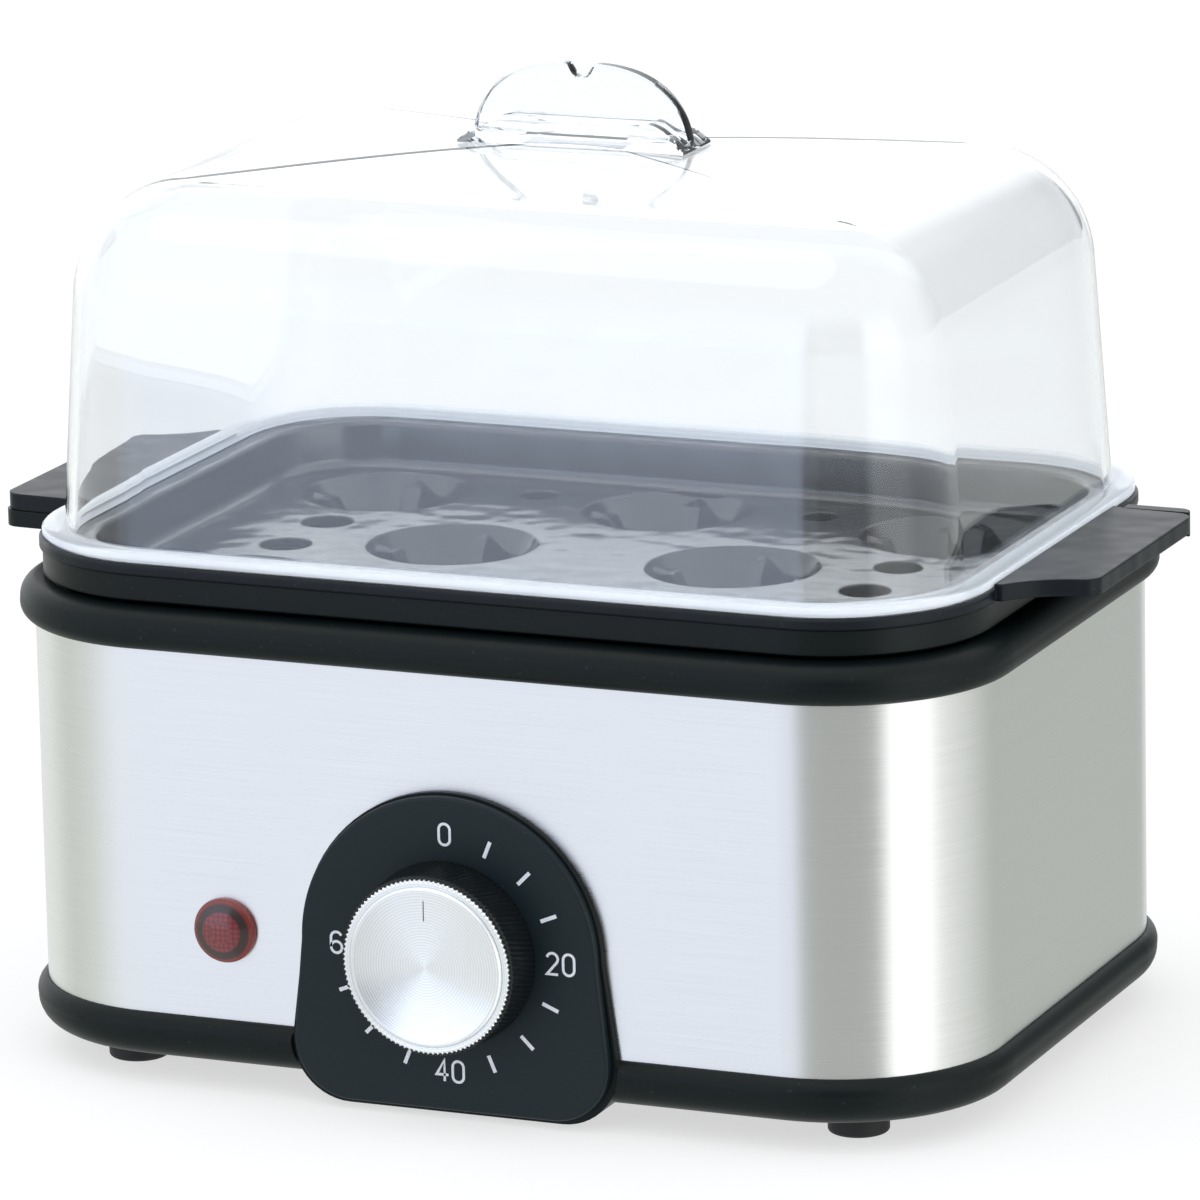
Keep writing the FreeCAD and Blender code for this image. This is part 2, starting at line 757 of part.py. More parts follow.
def timer_cam():
    """Switch cam on the arbor; the notch lets the contacts open at zero."""
    y0 = timer_front + 4.4
    cam = through_front(cam_radius, 0, dial_height, y0, y0 + 4.0)
    notch = through_front(3.0, 0, dial_height + cam_radius + 0.6, y0 - 1, y0 + 6)
    return cam.cut([notch, through_front(shaft_radius, 0, dial_height, y0 - 1, y0 + 6)])


def timer_knob():
    """Hollow knob with slanted grip flutes, drive hub and a D-shaped socket."""
    back = plate_front - 0.4
    depth = back - knob_front
    face_centre = Vector(0, knob_front, dial_height)
    body = Part.makeCone(knob_radius - 0.7, knob_radius, depth, face_centre, BACKWARDS)
    hollow = through_front(knob_radius - 3.0, 0, dial_height, knob_front + 2.5, back + 1)
    hub = through_front(6.0, 0, dial_height, knob_front + 1, back)
    body = body.cut(hollow).fuse(hub)
    socket = through_front(shaft_radius, 0, dial_height, knob_front + 3.0, back + 1)
    flat = box(-4, 4, knob_front + 3.0, back + 1, dial_height + shaft_radius - 0.9, dial_height + 4)
    body = body.cut(socket.cut(flat))
    flutes = []
    count = 72
    for k in range(count):
        groove = Part.makeCylinder(0.6, depth + 4, Vector(0, 0, -2), UP)
        groove.rotate(Vector(), RIGHTWARDS, -90)
        groove.rotate(Vector(), UP, -14)
        groove.translate(Vector(0.25 * depth - 1.2, knob_front - 0.2, knob_radius + 0.25))
        groove.rotate(Vector(), BACKWARDS, 360.0 * k / count)
        groove.translate(Vector(0, 0, dial_height))
        flutes.append(groove)
    return body.cut(flutes)


def knob_cap():
    """Spun aluminium disc on the knob's face: knurled flange and a slightly raised centre."""
    depth = knob_front - cap_front
    half_tooth = 0.35
    count = 90
    points = []
    for k in range(2 * count):
        radius = cap_radius - (half_tooth if k % 2 else 0)
        angle = math.pi * k / count
        points.append(Vector(radius * math.cos(angle), cap_front, dial_height + radius * math.sin(angle)))
    disc = Part.Face(Part.makePolygon(points + points[:1])).extrude(Vector(0, depth, 0))
    step = 0.5
    margin = through_front(cap_radius + 1, 0, dial_height, cap_front - 1, cap_front + step)
    middle = Vector(0, cap_front, dial_height)
    raised = Part.makeCone(cap_disc_radius - step, cap_disc_radius, step, middle, BACKWARDS)
    return disc.cut(margin).fuse(raised)


# Trays


def carrying_tab(side, grow, low, high):
    """Carrying tab with one flared and one straight flank. The left one is the right one turned round."""
    root = steel_half_width - apron_inset - 3
    tip = handle_reach + grow
    r = handle_corner
    quarter = r * (1 - math.sqrt(0.5))
    flared = handle_half + 0.8
    face = profile(
        (root, -handle_root_half),
        (root + 5.2, -handle_root_half),
        (root + 13.9, -flared - 1.7, tip - r, -flared),
        (tip - quarter, -flared + quarter, tip, r - flared),
        (tip, handle_half - r),
        (tip - quarter, handle_half - quarter, tip - r, handle_half),
        (root + 7.0, handle_half + 0.6),
        (root, handle_half + 3.0),
    )
    face.rotate(Vector(), RIGHTWARDS, -90)
    plate = face.extrude(Vector(0, 0, high - low))
    if side < 0:
        plate.rotate(Vector(), UP, 180)
    return plate.translated(Vector(0, 0, low))


def lower_right_tab():
    """Right tab of the lower tray: a thin plate under the upper tray's tab, with a lip behind it."""
    lip_start = handle_half + 0.6 + right_tab_gap
    low = steam_rim_high - right_tab_thickness
    plate = box(
        steel_half_width - 6,
        right_tab_reach,
        right_tab_front,
        lip_start + right_tab_lip,
        low,
        steam_rim_high,
    )
    lip = box(
        steel_half_width + 1,
        handle_reach - 1.6,
        lip_start,
        lip_start + right_tab_lip,
        low,
        egg_rim_high + handle_rise,
    )
    corners = [
        edge
        for edge in lip.Edges
        if abs(edge.BoundBox.ZLength - lip.BoundBox.ZLength) < 0.01
        and edge.BoundBox.XMin > right_tab_reach
        and edge.BoundBox.YMin > lip_start + 1
    ]
    return plate.fuse(lip.makeFillet(right_tab_lip - 0.4, corners))


def steam_tray():
    """Lower tray: outer apron, carrying tabs, stepped basin that sits on the pan, and a slotted floor."""
    step = ledge_high + gasket_thickness + pan_sheet + running_gap
    floor_top = 87.5
    floor_under = floor_top - tray_wall
    rim_low = steam_rim_high - 2.0
    basin = ring(
        profile(
            (-apron_inset, apron_low),
            (-apron_inset, steam_rim_high),
            (-11.2, steam_rim_high),
            (-11.2, step + tray_wall),
            (-16.0, step + tray_wall),
            (-17.6, floor_top),
            (-27, floor_top),
            (-27, floor_under),
            (-16.4, floor_under),
            (-14.4, step),
            (-9.3, step),
            (-9.3, rim_low),
            (-apron_inset - 2.0, rim_low),
            (-apron_inset - 2.0, apron_low),
        )
    )
    tray = basin.fuse(slab(26, floor_under, floor_top))
    left_tab = carrying_tab(-1, 0, steam_rim_high - left_tab_thickness, steam_rim_high)
    inside = slab(apron_inset + 1, apron_low, lid_top)
    tray = tray.fuse([left_tab.cut(inside), lower_right_tab().cut(inside)])
    slots = []
    for column in range(-5, 6):
        for y0, y1 in ((-40, -6), (6, 40)):
            slots.append(box(13 * column - 2, 13 * column + 2, y0, y1, floor_under - 1, floor_top + 1))
    return tray.cut(slots).removeSplitter()


def cup(x, y):
    """Egg cup: sloping wall, open foot ring and four ribs that steady the egg."""
    under = egg_floor_high - egg_floor_thickness
    height = egg_floor_high - cup_foot
    wall = 1.6
    slope = (cup_radius - cup_foot_radius) / height
    under_radius = cup_radius - slope * egg_floor_thickness
    outside = Part.makeCone(
        cup_foot_radius + wall, under_radius + wall, under - cup_foot + 0.5, Vector(x, y, cup_foot), UP
    )
    inside = Part.makeCone(
        cup_foot_radius, cup_radius, height - 1.6, Vector(x, y, cup_foot + 1.6), UP
    )
    ribs = []
    for k in range(4):
        rib = Part.makeBox(cup_foot_radius, 4.4, height - 3.0, Vector(8.6, -2.2, cup_foot + 0.8))
        lean = Part.makeCone(8.6, 14.5, height - 1.6, Vector(0, 0, cup_foot + 1.6), UP)
        rib = rib.cut(lean)
        rib.rotate(Vector(), UP, 90 * k)
        ribs.append(rib.translated(Vector(x, y, 0)).common(outside))
    drain = upright(cup_drain_radius, x, y, cup_foot - 1, cup_foot + 3)
    return outside.cut([inside, drain]).fuse(ribs), inside


def egg_tray():
    """Upper tray: flat rim under the lid, carrying tabs, sunk floor with the egg cups and steam holes."""
    rim_low = steam_rim_high + 0.2
    under = egg_floor_high - egg_floor_thickness
    wall_in = -egg_wall_inset - tray_wall
    tray = ring(
        profile(
            (-1.3, rim_low),
            (-1.3, egg_rim_high - 0.5),
            (-1.8, egg_rim_high),
            (wall_in + 0.6, egg_rim_high),
            (wall_in, egg_rim_high - 0.6),
            (wall_in - 1.0, egg_floor_high + 2.5),
            (wall_in - 1.8, egg_floor_high + 0.7, wall_in - 3.6, egg_floor_high),
            (-27, egg_floor_high),
            (-27, under),
            (-egg_wall_inset - 1.6, under),
            (-egg_wall_inset, rim_low),
        )
    )
    tray = tray.fuse(slab(26, under, egg_floor_high))
    above_rim = slab(apron_inset - 0.5, egg_rim_high, lid_top)
    for side, grow in ((-1, -left_tab_step), (1, 0)):
        tab = carrying_tab(side, grow, rim_low, egg_rim_high + handle_rise)
        tray = tray.fuse(tab.cut([slab(4, apron_low, lid_top), above_rim]))
    cups = [cup(x, y) for x, y in cup_spots]
    hollows = [hollow for _, hollow in cups]
    tray = tray.cut(hollows).fuse([wall for wall, _ in cups])
    holes = [upright(steam_hole_radius, x, y, under - 1, egg_floor_high + 1) for x, y in steam_hole_spots]
    for x, y in small_steam_hole_spots:
        holes.append(upright(small_steam_hole_radius, x, y, under - 1, egg_floor_high + 1))
    return tray.cut(holes)


# Lid


def lid():
    """Clear moulded cover: flange, drafted wall, round shoulders, flat top and the half-moon grip."""
    shoulder_top = lid_top - crown_rise
    low = egg_rim_high + running_gap
    flange_high = low + flange_thickness
    draft = math.tan(math.radians(lid_draft))
    bend = math.radians(90 - lid_draft)
    half_bend = bend / 2

    def shell_side(inset, top, shoulder):
        """Wall line and shoulder arc of one face of the shell: start, arc middle and end."""
        centre_z = top - shoulder
        start_z = centre_z + shoulder * math.sin(math.radians(lid_draft))
        start_u = -inset - (start_z - flange_high) * draft
        centre_u = start_u - shoulder * math.cos(math.radians(lid_draft))
        middle_angle = math.pi / 2 - half_bend
        middle_u = centre_u + shoulder * math.cos(middle_angle)
        middle_z = centre_z + shoulder * math.sin(middle_angle)
        return (start_u, start_z), (middle_u, middle_z), (centre_u, top)

    start, middle, end = shell_side(lid_wall_inset, shoulder_top, lid_shoulder)
    inner = shell_side(lid_wall_inset + lid_wall, shoulder_top - lid_wall, lid_shoulder - lid_wall)
    inner_start, inner_middle, inner_end = inner
    hub = 0.4 - steel_corner
    shell = ring(
        profile(
            (-apron_inset, low),
            (-apron_inset, flange_high),
            (-lid_wall_inset, flange_high),
            start,
            (*middle, *end),
            (hub, shoulder_top),
            (hub, shoulder_top - lid_wall),
            inner_end,
            (*inner_middle, *inner_start),
            (-lid_wall_inset - lid_wall, low),
        )
    )
    return shell.fuse([crown(steel_half_width + hub, steel_half_depth + hub, shoulder_top), grip()])


def crown(half_x, half_y, edge_height):
    """Domed middle of the lid's top, which falls to one height along all four of its edges."""
    rise = lid_top - edge_height
    steps = 8
    rows = []
    for i in range(steps + 1):
        across = -1 + 2 * i / steps
        row = []
        for k in range(steps + 1):
            along = -1 + 2 * k / steps
            height = edge_height + rise * (1 - across**2) * (1 - along**2)
            row.append(Vector(across * half_x, along * half_y, height))
        rows.append(row)
    surface = Part.BSplineSurface()
    surface.interpolate(rows)
    return surface.toShape().extrude(Vector(0, 0, -lid_wall))


def grip():
    """Half-moon fin along X with a notch in its crest, on two thicker steps."""
    half = fin_half_length
    fin_top = lid_top + fin_height
    slope = math.sqrt(0.5)
    bulge = lid_top + fin_height * slope * 1.12
    fin = profile(
        (-half, lid_top - 0.5),
        (-half * slope * 1.06, bulge, -notch_half_width, fin_top - 0.1),
        (-0.8, fin_top - notch_depth),
        (0.8, fin_top - notch_depth),
        (notch_half_width, fin_top - 0.1),
        (half * slope * 1.06, bulge, half, lid_top - 0.5),
    )

    def plate(face, half_thickness):
        return face.translated(Vector(0, -half_thickness, 0)).extrude(Vector(0, 2 * half_thickness, 0))

    def step(step_half, height, half_thickness):
        crest = step_half - 1.6 * height
        face = profile(
            (-step_half, lid_top - 0.5),
            (-crest - 0.45 * height, lid_top + 0.72 * height, -crest, lid_top + height),
            (crest, lid_top + height),
            (crest + 0.45 * height, lid_top + 0.72 * height, step_half, lid_top - 0.5),
        )
        return plate(face, half_thickness)

    return plate(fin, fin_half_thickness).fuse([step(24.6, 5.0, 4.4), step(26.3, 2.6, 7.8)])


parts = {
    "base_shell": base_shell,
    "steel_wrap": steel_wrap,
    "top_rim": top_rim,
    "pan_gasket": pan_gasket,
    "heating_pan": heating_pan,
    "heating_element": heating_element,
    "pan_bracket": pan_bracket,
    "bracket_screws": bracket_screws,
    "thermostat": thermostat,
    "thermal_fuse": thermal_fuse,
    "fuse_clip": fuse_clip,
    "timer_case": timer_case,
    "timer_movement": timer_movement,
    "timer_contacts": timer_contacts,
    "timer_bell": timer_bell,
    "timer_screws": timer_screws,
    "dial_plate": dial_plate,
    "pilot_lens": pilot_lens,
    "lens_clip": lens_clip,
    "neon_lamp": neon_lamp,
    "lamp_holder": lamp_holder,
    "lamp_resistor": lamp_resistor,
    "terminal_block": terminal_block,
    "terminal_screws": terminal_screws,
    "earth_tab": earth_tab,
    "cord_gland": cord_gland,
    "feet": feet,
    "base_screws": base_screws,
    "timer_shaft": timer_shaft,
    "timer_cam": timer_cam,
    "timer_knob": timer_knob,
    "knob_cap": knob_cap,
    "steam_tray": steam_tray,
    "egg_tray": egg_tray,
    "lid": lid,
}

os.makedirs("parts", exist_ok=True)
for name, build in parts.items():
    build().exportStep(f"parts/{name}.step")
for name, (radius, points) in wires().items():
    smooth_wire(radius, points).exportStep(f"parts/{name}.step")
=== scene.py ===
"""Looks of the egg cooker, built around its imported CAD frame. Lengths are in metres."""

import json
import math

import bmesh
import bpy
from mathutils import Euler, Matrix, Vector


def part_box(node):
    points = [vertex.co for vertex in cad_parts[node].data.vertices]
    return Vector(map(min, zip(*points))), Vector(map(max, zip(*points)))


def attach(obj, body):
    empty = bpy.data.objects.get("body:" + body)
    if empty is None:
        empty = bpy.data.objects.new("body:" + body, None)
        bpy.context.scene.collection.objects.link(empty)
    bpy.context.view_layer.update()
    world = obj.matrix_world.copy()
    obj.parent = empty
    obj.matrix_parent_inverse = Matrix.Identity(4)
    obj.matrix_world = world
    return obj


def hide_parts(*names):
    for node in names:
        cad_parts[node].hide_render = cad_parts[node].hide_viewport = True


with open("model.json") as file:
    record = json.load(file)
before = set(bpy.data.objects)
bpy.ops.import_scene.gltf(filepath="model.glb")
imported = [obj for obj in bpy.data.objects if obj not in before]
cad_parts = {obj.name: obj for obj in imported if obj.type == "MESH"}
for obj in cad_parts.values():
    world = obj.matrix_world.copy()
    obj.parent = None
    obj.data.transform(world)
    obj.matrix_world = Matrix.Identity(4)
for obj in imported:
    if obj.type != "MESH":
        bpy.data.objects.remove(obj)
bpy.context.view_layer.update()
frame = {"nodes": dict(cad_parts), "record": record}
nodes = frame["nodes"]
slot_of = {row["node"]: row["material_slot"] for row in frame["record"]["subparts"]}
MM = 0.001


# ---------------------------------------------------------------- sizes read from the frame

steel_low, steel_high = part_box("steel_wrap")
half_x = steel_high.x
half_y = steel_high.y
corner = 36 * MM

lid_low, lid_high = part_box("lid")
FLANGE_THICKNESS = 2.0 * MM
plate_low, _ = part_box("dial_plate")
knob_low, knob_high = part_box("timer_knob")
cap_low, cap_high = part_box("knob_cap")
lens_low, lens_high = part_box("pilot_lens")

dial_height = (knob_low.z + knob_high.z) / 2
knob_radius = knob_high.x
plate_front = plate_low.y


# ---------------------------------------------------------------- shader helpers


class Nodes:
    """A material's node tree with short ways to add, set and link nodes."""

    def __init__(self, name):
        self.material = bpy.data.materials.new(name)
        self.material.use_nodes = True
        self.tree = self.material.node_tree
        self.tree.nodes.clear()
        self.output = self.tree.nodes.new("ShaderNodeOutputMaterial")

    def add(self, kind, inputs=None, **settings):
        """New node of a kind. An input's value is a constant or another node's output socket."""
        node = self.tree.nodes.new("ShaderNode" + kind)
        for name, value in settings.items():
            setattr(node, name, value)
        for name, value in (inputs or {}).items():
            socket = node.inputs[name]
            if isinstance(value, bpy.types.NodeSocket):
                self.tree.links.new(value, socket)
            else:
                socket.default_value = value
        return node

    def math(self, operation, first, second=0.0):
        return self.add("Math", {0: first, 1: second}, operation=operation).outputs[0]

    def spread(self, factor, low, high):
        """A 0 to 1 factor turned into low to high."""
        inputs = {"Value": factor, "To Min": low, "To Max": high}
        return self.add("MapRange", inputs).outputs["Result"]

    def ramp(self, factor, stops):
        """Colour ramp through (position, grey or colour) stops."""
        node = self.add("ValToRGB", {"Fac": factor})
        elements = node.color_ramp.elements
        while len(elements) < len(stops):
            elements.new(0.5)
        for element, (position, colour) in zip(elements, stops):
            element.position = position
            element.color = rgba(colour)
        return node.outputs["Color"]

    def object_coords(self, scale=(1, 1, 1), location=(0, 0, 0), rotation=(0, 0, 0)):
        source = self.add("TexCoord").outputs["Object"]
        inputs = {"Vector": source, "Scale": scale, "Location": location, "Rotation": rotation}
        return self.add("Mapping", inputs).outputs["Vector"]

    def noise(self, coords, scale=1.0, detail=3.0, roughness=0.5):
        inputs = {"Vector": coords, "Scale": scale, "Detail": detail, "Roughness": roughness}
        return self.add("TexNoise", inputs).outputs["Fac"]

    def finish(self, shader):
        self.tree.links.new(shader.outputs[0], self.output.inputs["Surface"])
        return self.material


def rgba(colour):
    if isinstance(colour, (int, float)):
        colour = (colour, colour, colour)
    return (*colour, 1.0)


def outline_inset(n, coords):
    """How far inside the steel's rounded outline a point lies, seen from above."""
    straight = (half_x - corner, half_y - corner, 0)
    away = n.add("VectorMath", {0: coords}, operation="ABSOLUTE").outputs[0]
    away = n.add("VectorMath", {0: away, 1: straight}, operation="SUBTRACT").outputs[0]
    away = n.add("VectorMath", {0: away, 1: (0, 0, 0)}, operation="MAXIMUM").outputs[0]
    flat = n.add("VectorMath", {0: away, 1: (1, 1, 0)}, operation="MULTIPLY").outputs[0]
    length = n.add("VectorMath", {0: flat}, operation="LENGTH").outputs["Value"]
    return n.math("SUBTRACT", corner, length)


def moulded_plastic(name, colour, roughness, level, edge=0.5 * MM, grain=0.25, wave=0.0, satin=0.0):
    """Moulded plastic: softened edges, fine surface texture, cloudy gloss and a few faint specks.

    With satin given, the rim's outside and the carrying tabs have that roughness.
    """
    n = Nodes(name)
    coords = n.object_coords()
    cloud = n.noise(coords, scale=38, detail=4)
    fine = n.noise(coords, scale=2600, detail=2)
    specks = n.noise(coords, scale=900, detail=1)
    shade = n.spread(cloud, 0.86, 1.14)
    dust = n.spread(n.math("GREATER_THAN", specks, 0.74), 0.0, 0.012)
    tint = n.add("Mix", {0: 1.0, 6: rgba(colour), 7: shade}, data_type="RGBA", blend_type="MULTIPLY")
    dusted = n.add("Mix", {0: 1.0, 6: tint.outputs[2], 7: dust}, data_type="RGBA", blend_type="ADD")
    normal = n.add("Bevel", {"Radius": edge}, samples=6).outputs["Normal"]
    if wave:
        swell = n.noise(n.object_coords(scale=(1, 1, 0.2)), scale=95, detail=1)
        inputs = {"Height": swell, "Strength": wave, "Distance": 1.0 * MM, "Normal": normal}
        normal = n.add("Bump", inputs).outputs["Normal"]
    inputs = {"Height": fine, "Strength": grain, "Distance": 0.02 * MM, "Normal": normal}
    normal = n.add("Bump", inputs).outputs["Normal"]

    def surface(gloss, specular):
        return n.add(
            "BsdfPrincipled",
            {
                "Base Color": dusted.outputs[2],
                "Roughness": n.spread(cloud, gloss - 0.04, gloss + 0.04),
                "Specular IOR Level": specular,
                "Normal": normal,
            },
        )

    body = surface(roughness, level)
    if not satin:
        return n.finish(body)
    rim_width = 2.2 * MM
    outside = n.math("LESS_THAN", outline_inset(n, coords), rim_width)
    tabs = surface(satin, 0.22)
    return n.finish(n.add("MixShader", {0: outside, 1: body.outputs[0], 2: tabs.outputs[0]}))


def plain_metal(name, colour, roughness, edge=0.25 * MM, scratches=0.1):
    """Plated or stamped metal with a mottled gloss and fine rolling marks."""
    n = Nodes(name)
    coords = n.object_coords()
    mottle = n.noise(coords, scale=160, detail=5)
    marks = n.noise(n.object_coords(scale=(250, 2500, 250)), detail=3)
    shade = n.spread(mottle, 0.82, 1.1)
    tint = n.add("Mix", {0: 1.0, 6: rgba(colour), 7: shade}, data_type="RGBA", blend_type="MULTIPLY")
    normal = n.add("Bevel", {"Radius": edge}, samples=4).outputs["Normal"]
    inputs = {"Height": marks, "Strength": scratches, "Distance": 0.02 * MM, "Normal": normal}
    normal = n.add("Bump", inputs).outputs["Normal"]
    return n.finish(
        n.add(
            "BsdfPrincipled",
            {
                "Base Color": tint.outputs[2],
                "Metallic": 1.0,
                "Roughness": n.spread(mottle, roughness - 0.06, roughness + 0.1),
                "Normal": normal,
            },
        )
    )


def soft_sleeve(name, colour, roughness):
    """Rubber, silicone, ceramic, fabric or wire insulation: uneven tone and a fine matt texture."""
    n = Nodes(name)
    cloud = n.noise(n.object_coords(), scale=220, detail=5)
    shade = n.spread(cloud, 0.72, 1.2)
    tint = n.add("Mix", {0: 1.0, 6: rgba(colour), 7: shade}, data_type="RGBA", blend_type="MULTIPLY")
    fine = n.noise(n.object_coords(), scale=3000, detail=2)
    bump = n.add("Bump", {"Height": fine, "Strength": 0.3, "Distance": 0.03 * MM})
    return n.finish(
        n.add(
            "BsdfPrincipled",
            {
                "Base Color": tint.outputs[2],
                "Roughness": n.spread(cloud, roughness - 0.08, roughness + 0.08),
                "Specular IOR Level": 0.4,
                "Normal": bump.outputs["Normal"],
            },
        )
    )


def brushed_steel(name):
    """Stainless sheet with a fine horizontal brush: highlights stretch upright, across the grain."""
    n = Nodes(name)
    streaks = n.noise(n.object_coords(scale=(26, 26, 5200)), detail=6, roughness=0.62)
    broad = n.noise(n.object_coords(scale=(9, 9, 420)), detail=2)
    shade = n.spread(streaks, 0.90, 1.08)
    steel = rgba((0.84, 0.845, 0.84))
    tint = n.add("Mix", {0: 1.0, 6: steel, 7: shade}, data_type="RGBA", blend_type="MULTIPLY")
    rough = n.math("ADD", n.spread(streaks, 0.22, 0.36), n.spread(broad, -0.03, 0.03))
    bump = n.add("Bump", {"Height": streaks, "Strength": 0.16, "Distance": 0.012 * MM})
    tangent = n.add("Tangent", direction_type="RADIAL", axis="Z")
    return n.finish(
        n.add(
            "BsdfPrincipled",
            {
                "Base Color": tint.outputs[2],
                "Metallic": 1.0,
                "Roughness": rough,
                "Anisotropic": 0.75,
                "Anisotropic Rotation": 0.25,
                "Normal": bump.outputs["Normal"],
                "Tangent": tangent.outputs["Tangent"],
            },
        )
    )


def spun_aluminium(name):
    """Turned disc: fine rings about the dial's axis and fan-shaped highlights."""
    n = Nodes(name)
    coords = n.object_coords(location=(0, 0, -dial_height))
    groove_pitch = 0.62 * MM
    ring_scale = 2 * math.pi / (20 * groove_pitch)
    wave_inputs = {"Vector": coords, "Scale": ring_scale}
    rings = n.add("TexWave", wave_inputs, wave_type="RINGS", rings_direction="Y").outputs["Fac"]
    lathe_inputs = {"Vector": coords, "Scale": ring_scale * 3.7, "Distortion": 0.4}
    lathe = n.add("TexWave", lathe_inputs, wave_type="RINGS", rings_direction="Y").outputs["Fac"]
    mottle = n.noise(coords, scale=400, detail=3)
    shade = n.spread(rings, 0.90, 1.0)
    metal = rgba((0.955, 0.98, 0.99))
    tint = n.add("Mix", {0: 1.0, 6: metal, 7: shade}, data_type="RGBA", blend_type="MULTIPLY")
    height = n.math("ADD", rings, n.math("MULTIPLY", lathe, 0.25))
    edge = n.add("Bevel", {"Radius": 0.12 * MM}, samples=4).outputs["Normal"]
    inputs = {"Height": height, "Strength": 0.35, "Distance": 0.02 * MM, "Normal": edge}
    bump = n.add("Bump", inputs)
    tangent = n.add("Tangent", direction_type="RADIAL", axis="Y")
    return n.finish(
        n.add(
            "BsdfPrincipled",
            {
                "Base Color": tint.outputs[2],
                "Metallic": 0.82,
                "Roughness": n.spread(mottle, 0.20, 0.30),
                "Anisotropic": 0.85,
                "Anisotropic Rotation": 0.25,
                "Normal": bump.outputs["Normal"],
                "Tangent": tangent.outputs["Tangent"],
            },
        )
    )


def clear_plastic(name):
    """Clear moulded plastic with a polished front face and a frosted flange.

    Light passes it without bending on its way to the trays, so that they are lit.
    """
    n = Nodes(name)
    coords = n.object_coords()
    swell = n.noise(coords, scale=14, detail=1)
    haze = n.noise(coords, scale=60, detail=4)
    bump = n.add("Bump", {"Height": swell, "Strength": 0.25, "Distance": 0.6 * MM})
    glass = n.add(
        "BsdfPrincipled",
        {
            "Base Color": rgba((0.972, 0.986, 0.992)),
            "Roughness": n.spread(haze, 0.0, 0.03),
            "IOR": 1.49,
            "Transmission Weight": 1.0,
            "Normal": bump.outputs["Normal"],
        },
    )
    skin = n.add(
        "BsdfGlossy",
        {"Color": rgba((0.74, 0.85, 1.0)), "Roughness": 0.05, "Normal": bump.outputs["Normal"]},
    )
    place = n.add("SeparateXYZ", {"Vector": coords}).outputs
    true_normal = n.add("NewGeometry").outputs["True Normal"]
    facing = n.math("ABSOLUTE", n.add("SeparateXYZ", {"Vector": true_normal}).outputs["Y"])
    flat_face = n.add("MapRange", {"Value": facing, "From Min": 0.972, "From Max": 0.994})
    in_front = n.math("LESS_THAN", place["Y"], 0.0)
    front_face = n.math("MULTIPLY", flat_face.outputs["Result"], in_front)
    skin_share = n.spread(front_face, 0.01, 0.05)
    polished = n.add("MixShader", {0: skin_share, 1: glass.outputs[0], 2: skin.outputs[0]})
    height = place["Z"]
    in_flange = n.math("LESS_THAN", height, lid_low.z + FLANGE_THICKNESS - 0.05 * MM)
    frost_tone = n.ramp(haze, [(0.3, (0.80, 0.84, 0.90)), (0.7, (0.86, 0.89, 0.94))])
    frost = n.add("BsdfDiffuse", {"Color": frost_tone})
    frost_share = n.math("MULTIPLY", in_flange, 0.5)
    body = n.add("MixShader", {0: frost_share, 1: polished.outputs[0], 2: frost.outputs[0]})
    passing = n.add("BsdfTransparent", {"Color": rgba((0.95, 0.965, 0.975))})
    ray = n.add("LightPath")
    lit = n.math("MAXIMUM", ray.outputs["Is Shadow Ray"], ray.outputs["Is Diffuse Ray"])
    mixed = n.add("MixShader", {0: lit, 1: body.outputs[0], 2: passing.outputs[0]})
    return n.finish(mixed)


def lamp_red(name):
    """Red lamp lens: bright rim, dark ring, and a middle with painted light and shade standing in for
    small prism facets, under a clear gloss.
    """
    n = Nodes(name)
    centre = (lens_low + lens_high) / 2
    coords = n.object_coords(location=(-centre.x, 0, -centre.z))
    flat = n.add("VectorMath", {0: coords, 1: (1, 0, 1)}, operation="MULTIPLY")
    radius = n.add("VectorMath", {0: flat.outputs[0]}, operation="LENGTH").outputs["Value"]
    share = n.math("DIVIDE", radius, lens_high.x - centre.x)
    rim_red = (0.21, 0.018, 0.015)
    middle_red = (0.17, 0.020, 0.024)
    zones = n.ramp(
        share,
        [
            (0.0, middle_red),
            (0.60, middle_red),
            (0.64, (0.028, 0.014, 0.014)),
            (0.84, (0.035, 0.014, 0.012)),
            (0.90, rim_red),
            (1.0, rim_red),
        ],
    )
    # Painted light and shade: a checker of darker (0.72) and brighter (1.3) squares over the middle
    # stands in for light caught by the lens's small prism facets.
    turned = n.object_coords(rotation=(0, math.radians(45), 0))
    prism_pitch = 0.8 * MM
    facet_checker_inputs = {"Vector": turned, "Scale": 1 / prism_pitch, "Color1": rgba(0.72), "Color2": rgba(1.3)}
    steps = n.add("TexChecker", facet_checker_inputs)
    in_middle = n.math("LESS_THAN", share, 0.62)
    painted_prism_light_and_shade = n.add("Mix", {0: in_middle, 6: rgba(1.0), 7: steps.outputs["Color"]}, data_type="RGBA")
    tint = n.add(
        "Mix", {0: 1.0, 6: zones, 7: painted_prism_light_and_shade.outputs[2]}, data_type="RGBA", blend_type="MULTIPLY"
    )
    return n.finish(
        n.add(
            "BsdfPrincipled",
            {
                "Base Color": tint.outputs[2],
                "Roughness": n.spread(n.noise(coords, scale=300), 0.3, 0.4),
                "Subsurface Weight": 0.15,
                "Subsurface Radius": (0.002, 0.0004, 0.0003),
                "Coat Weight": 0.7,
                "Coat Roughness": 0.03,
                "Coat IOR": 1.5,
            },
        )
    )


def white_ink(name):
    """Printed white of the dial, slightly uneven."""
    n = Nodes(name)
    cloud = n.noise(n.object_coords(), scale=1800, detail=3)
    tone = n.ramp(cloud, [(0.3, (0.66, 0.69, 0.74)), (0.7, (0.80, 0.83, 0.88))])
    return n.finish(n.add("BsdfPrincipled", {"Base Color": tone, "Roughness": 0.5}))


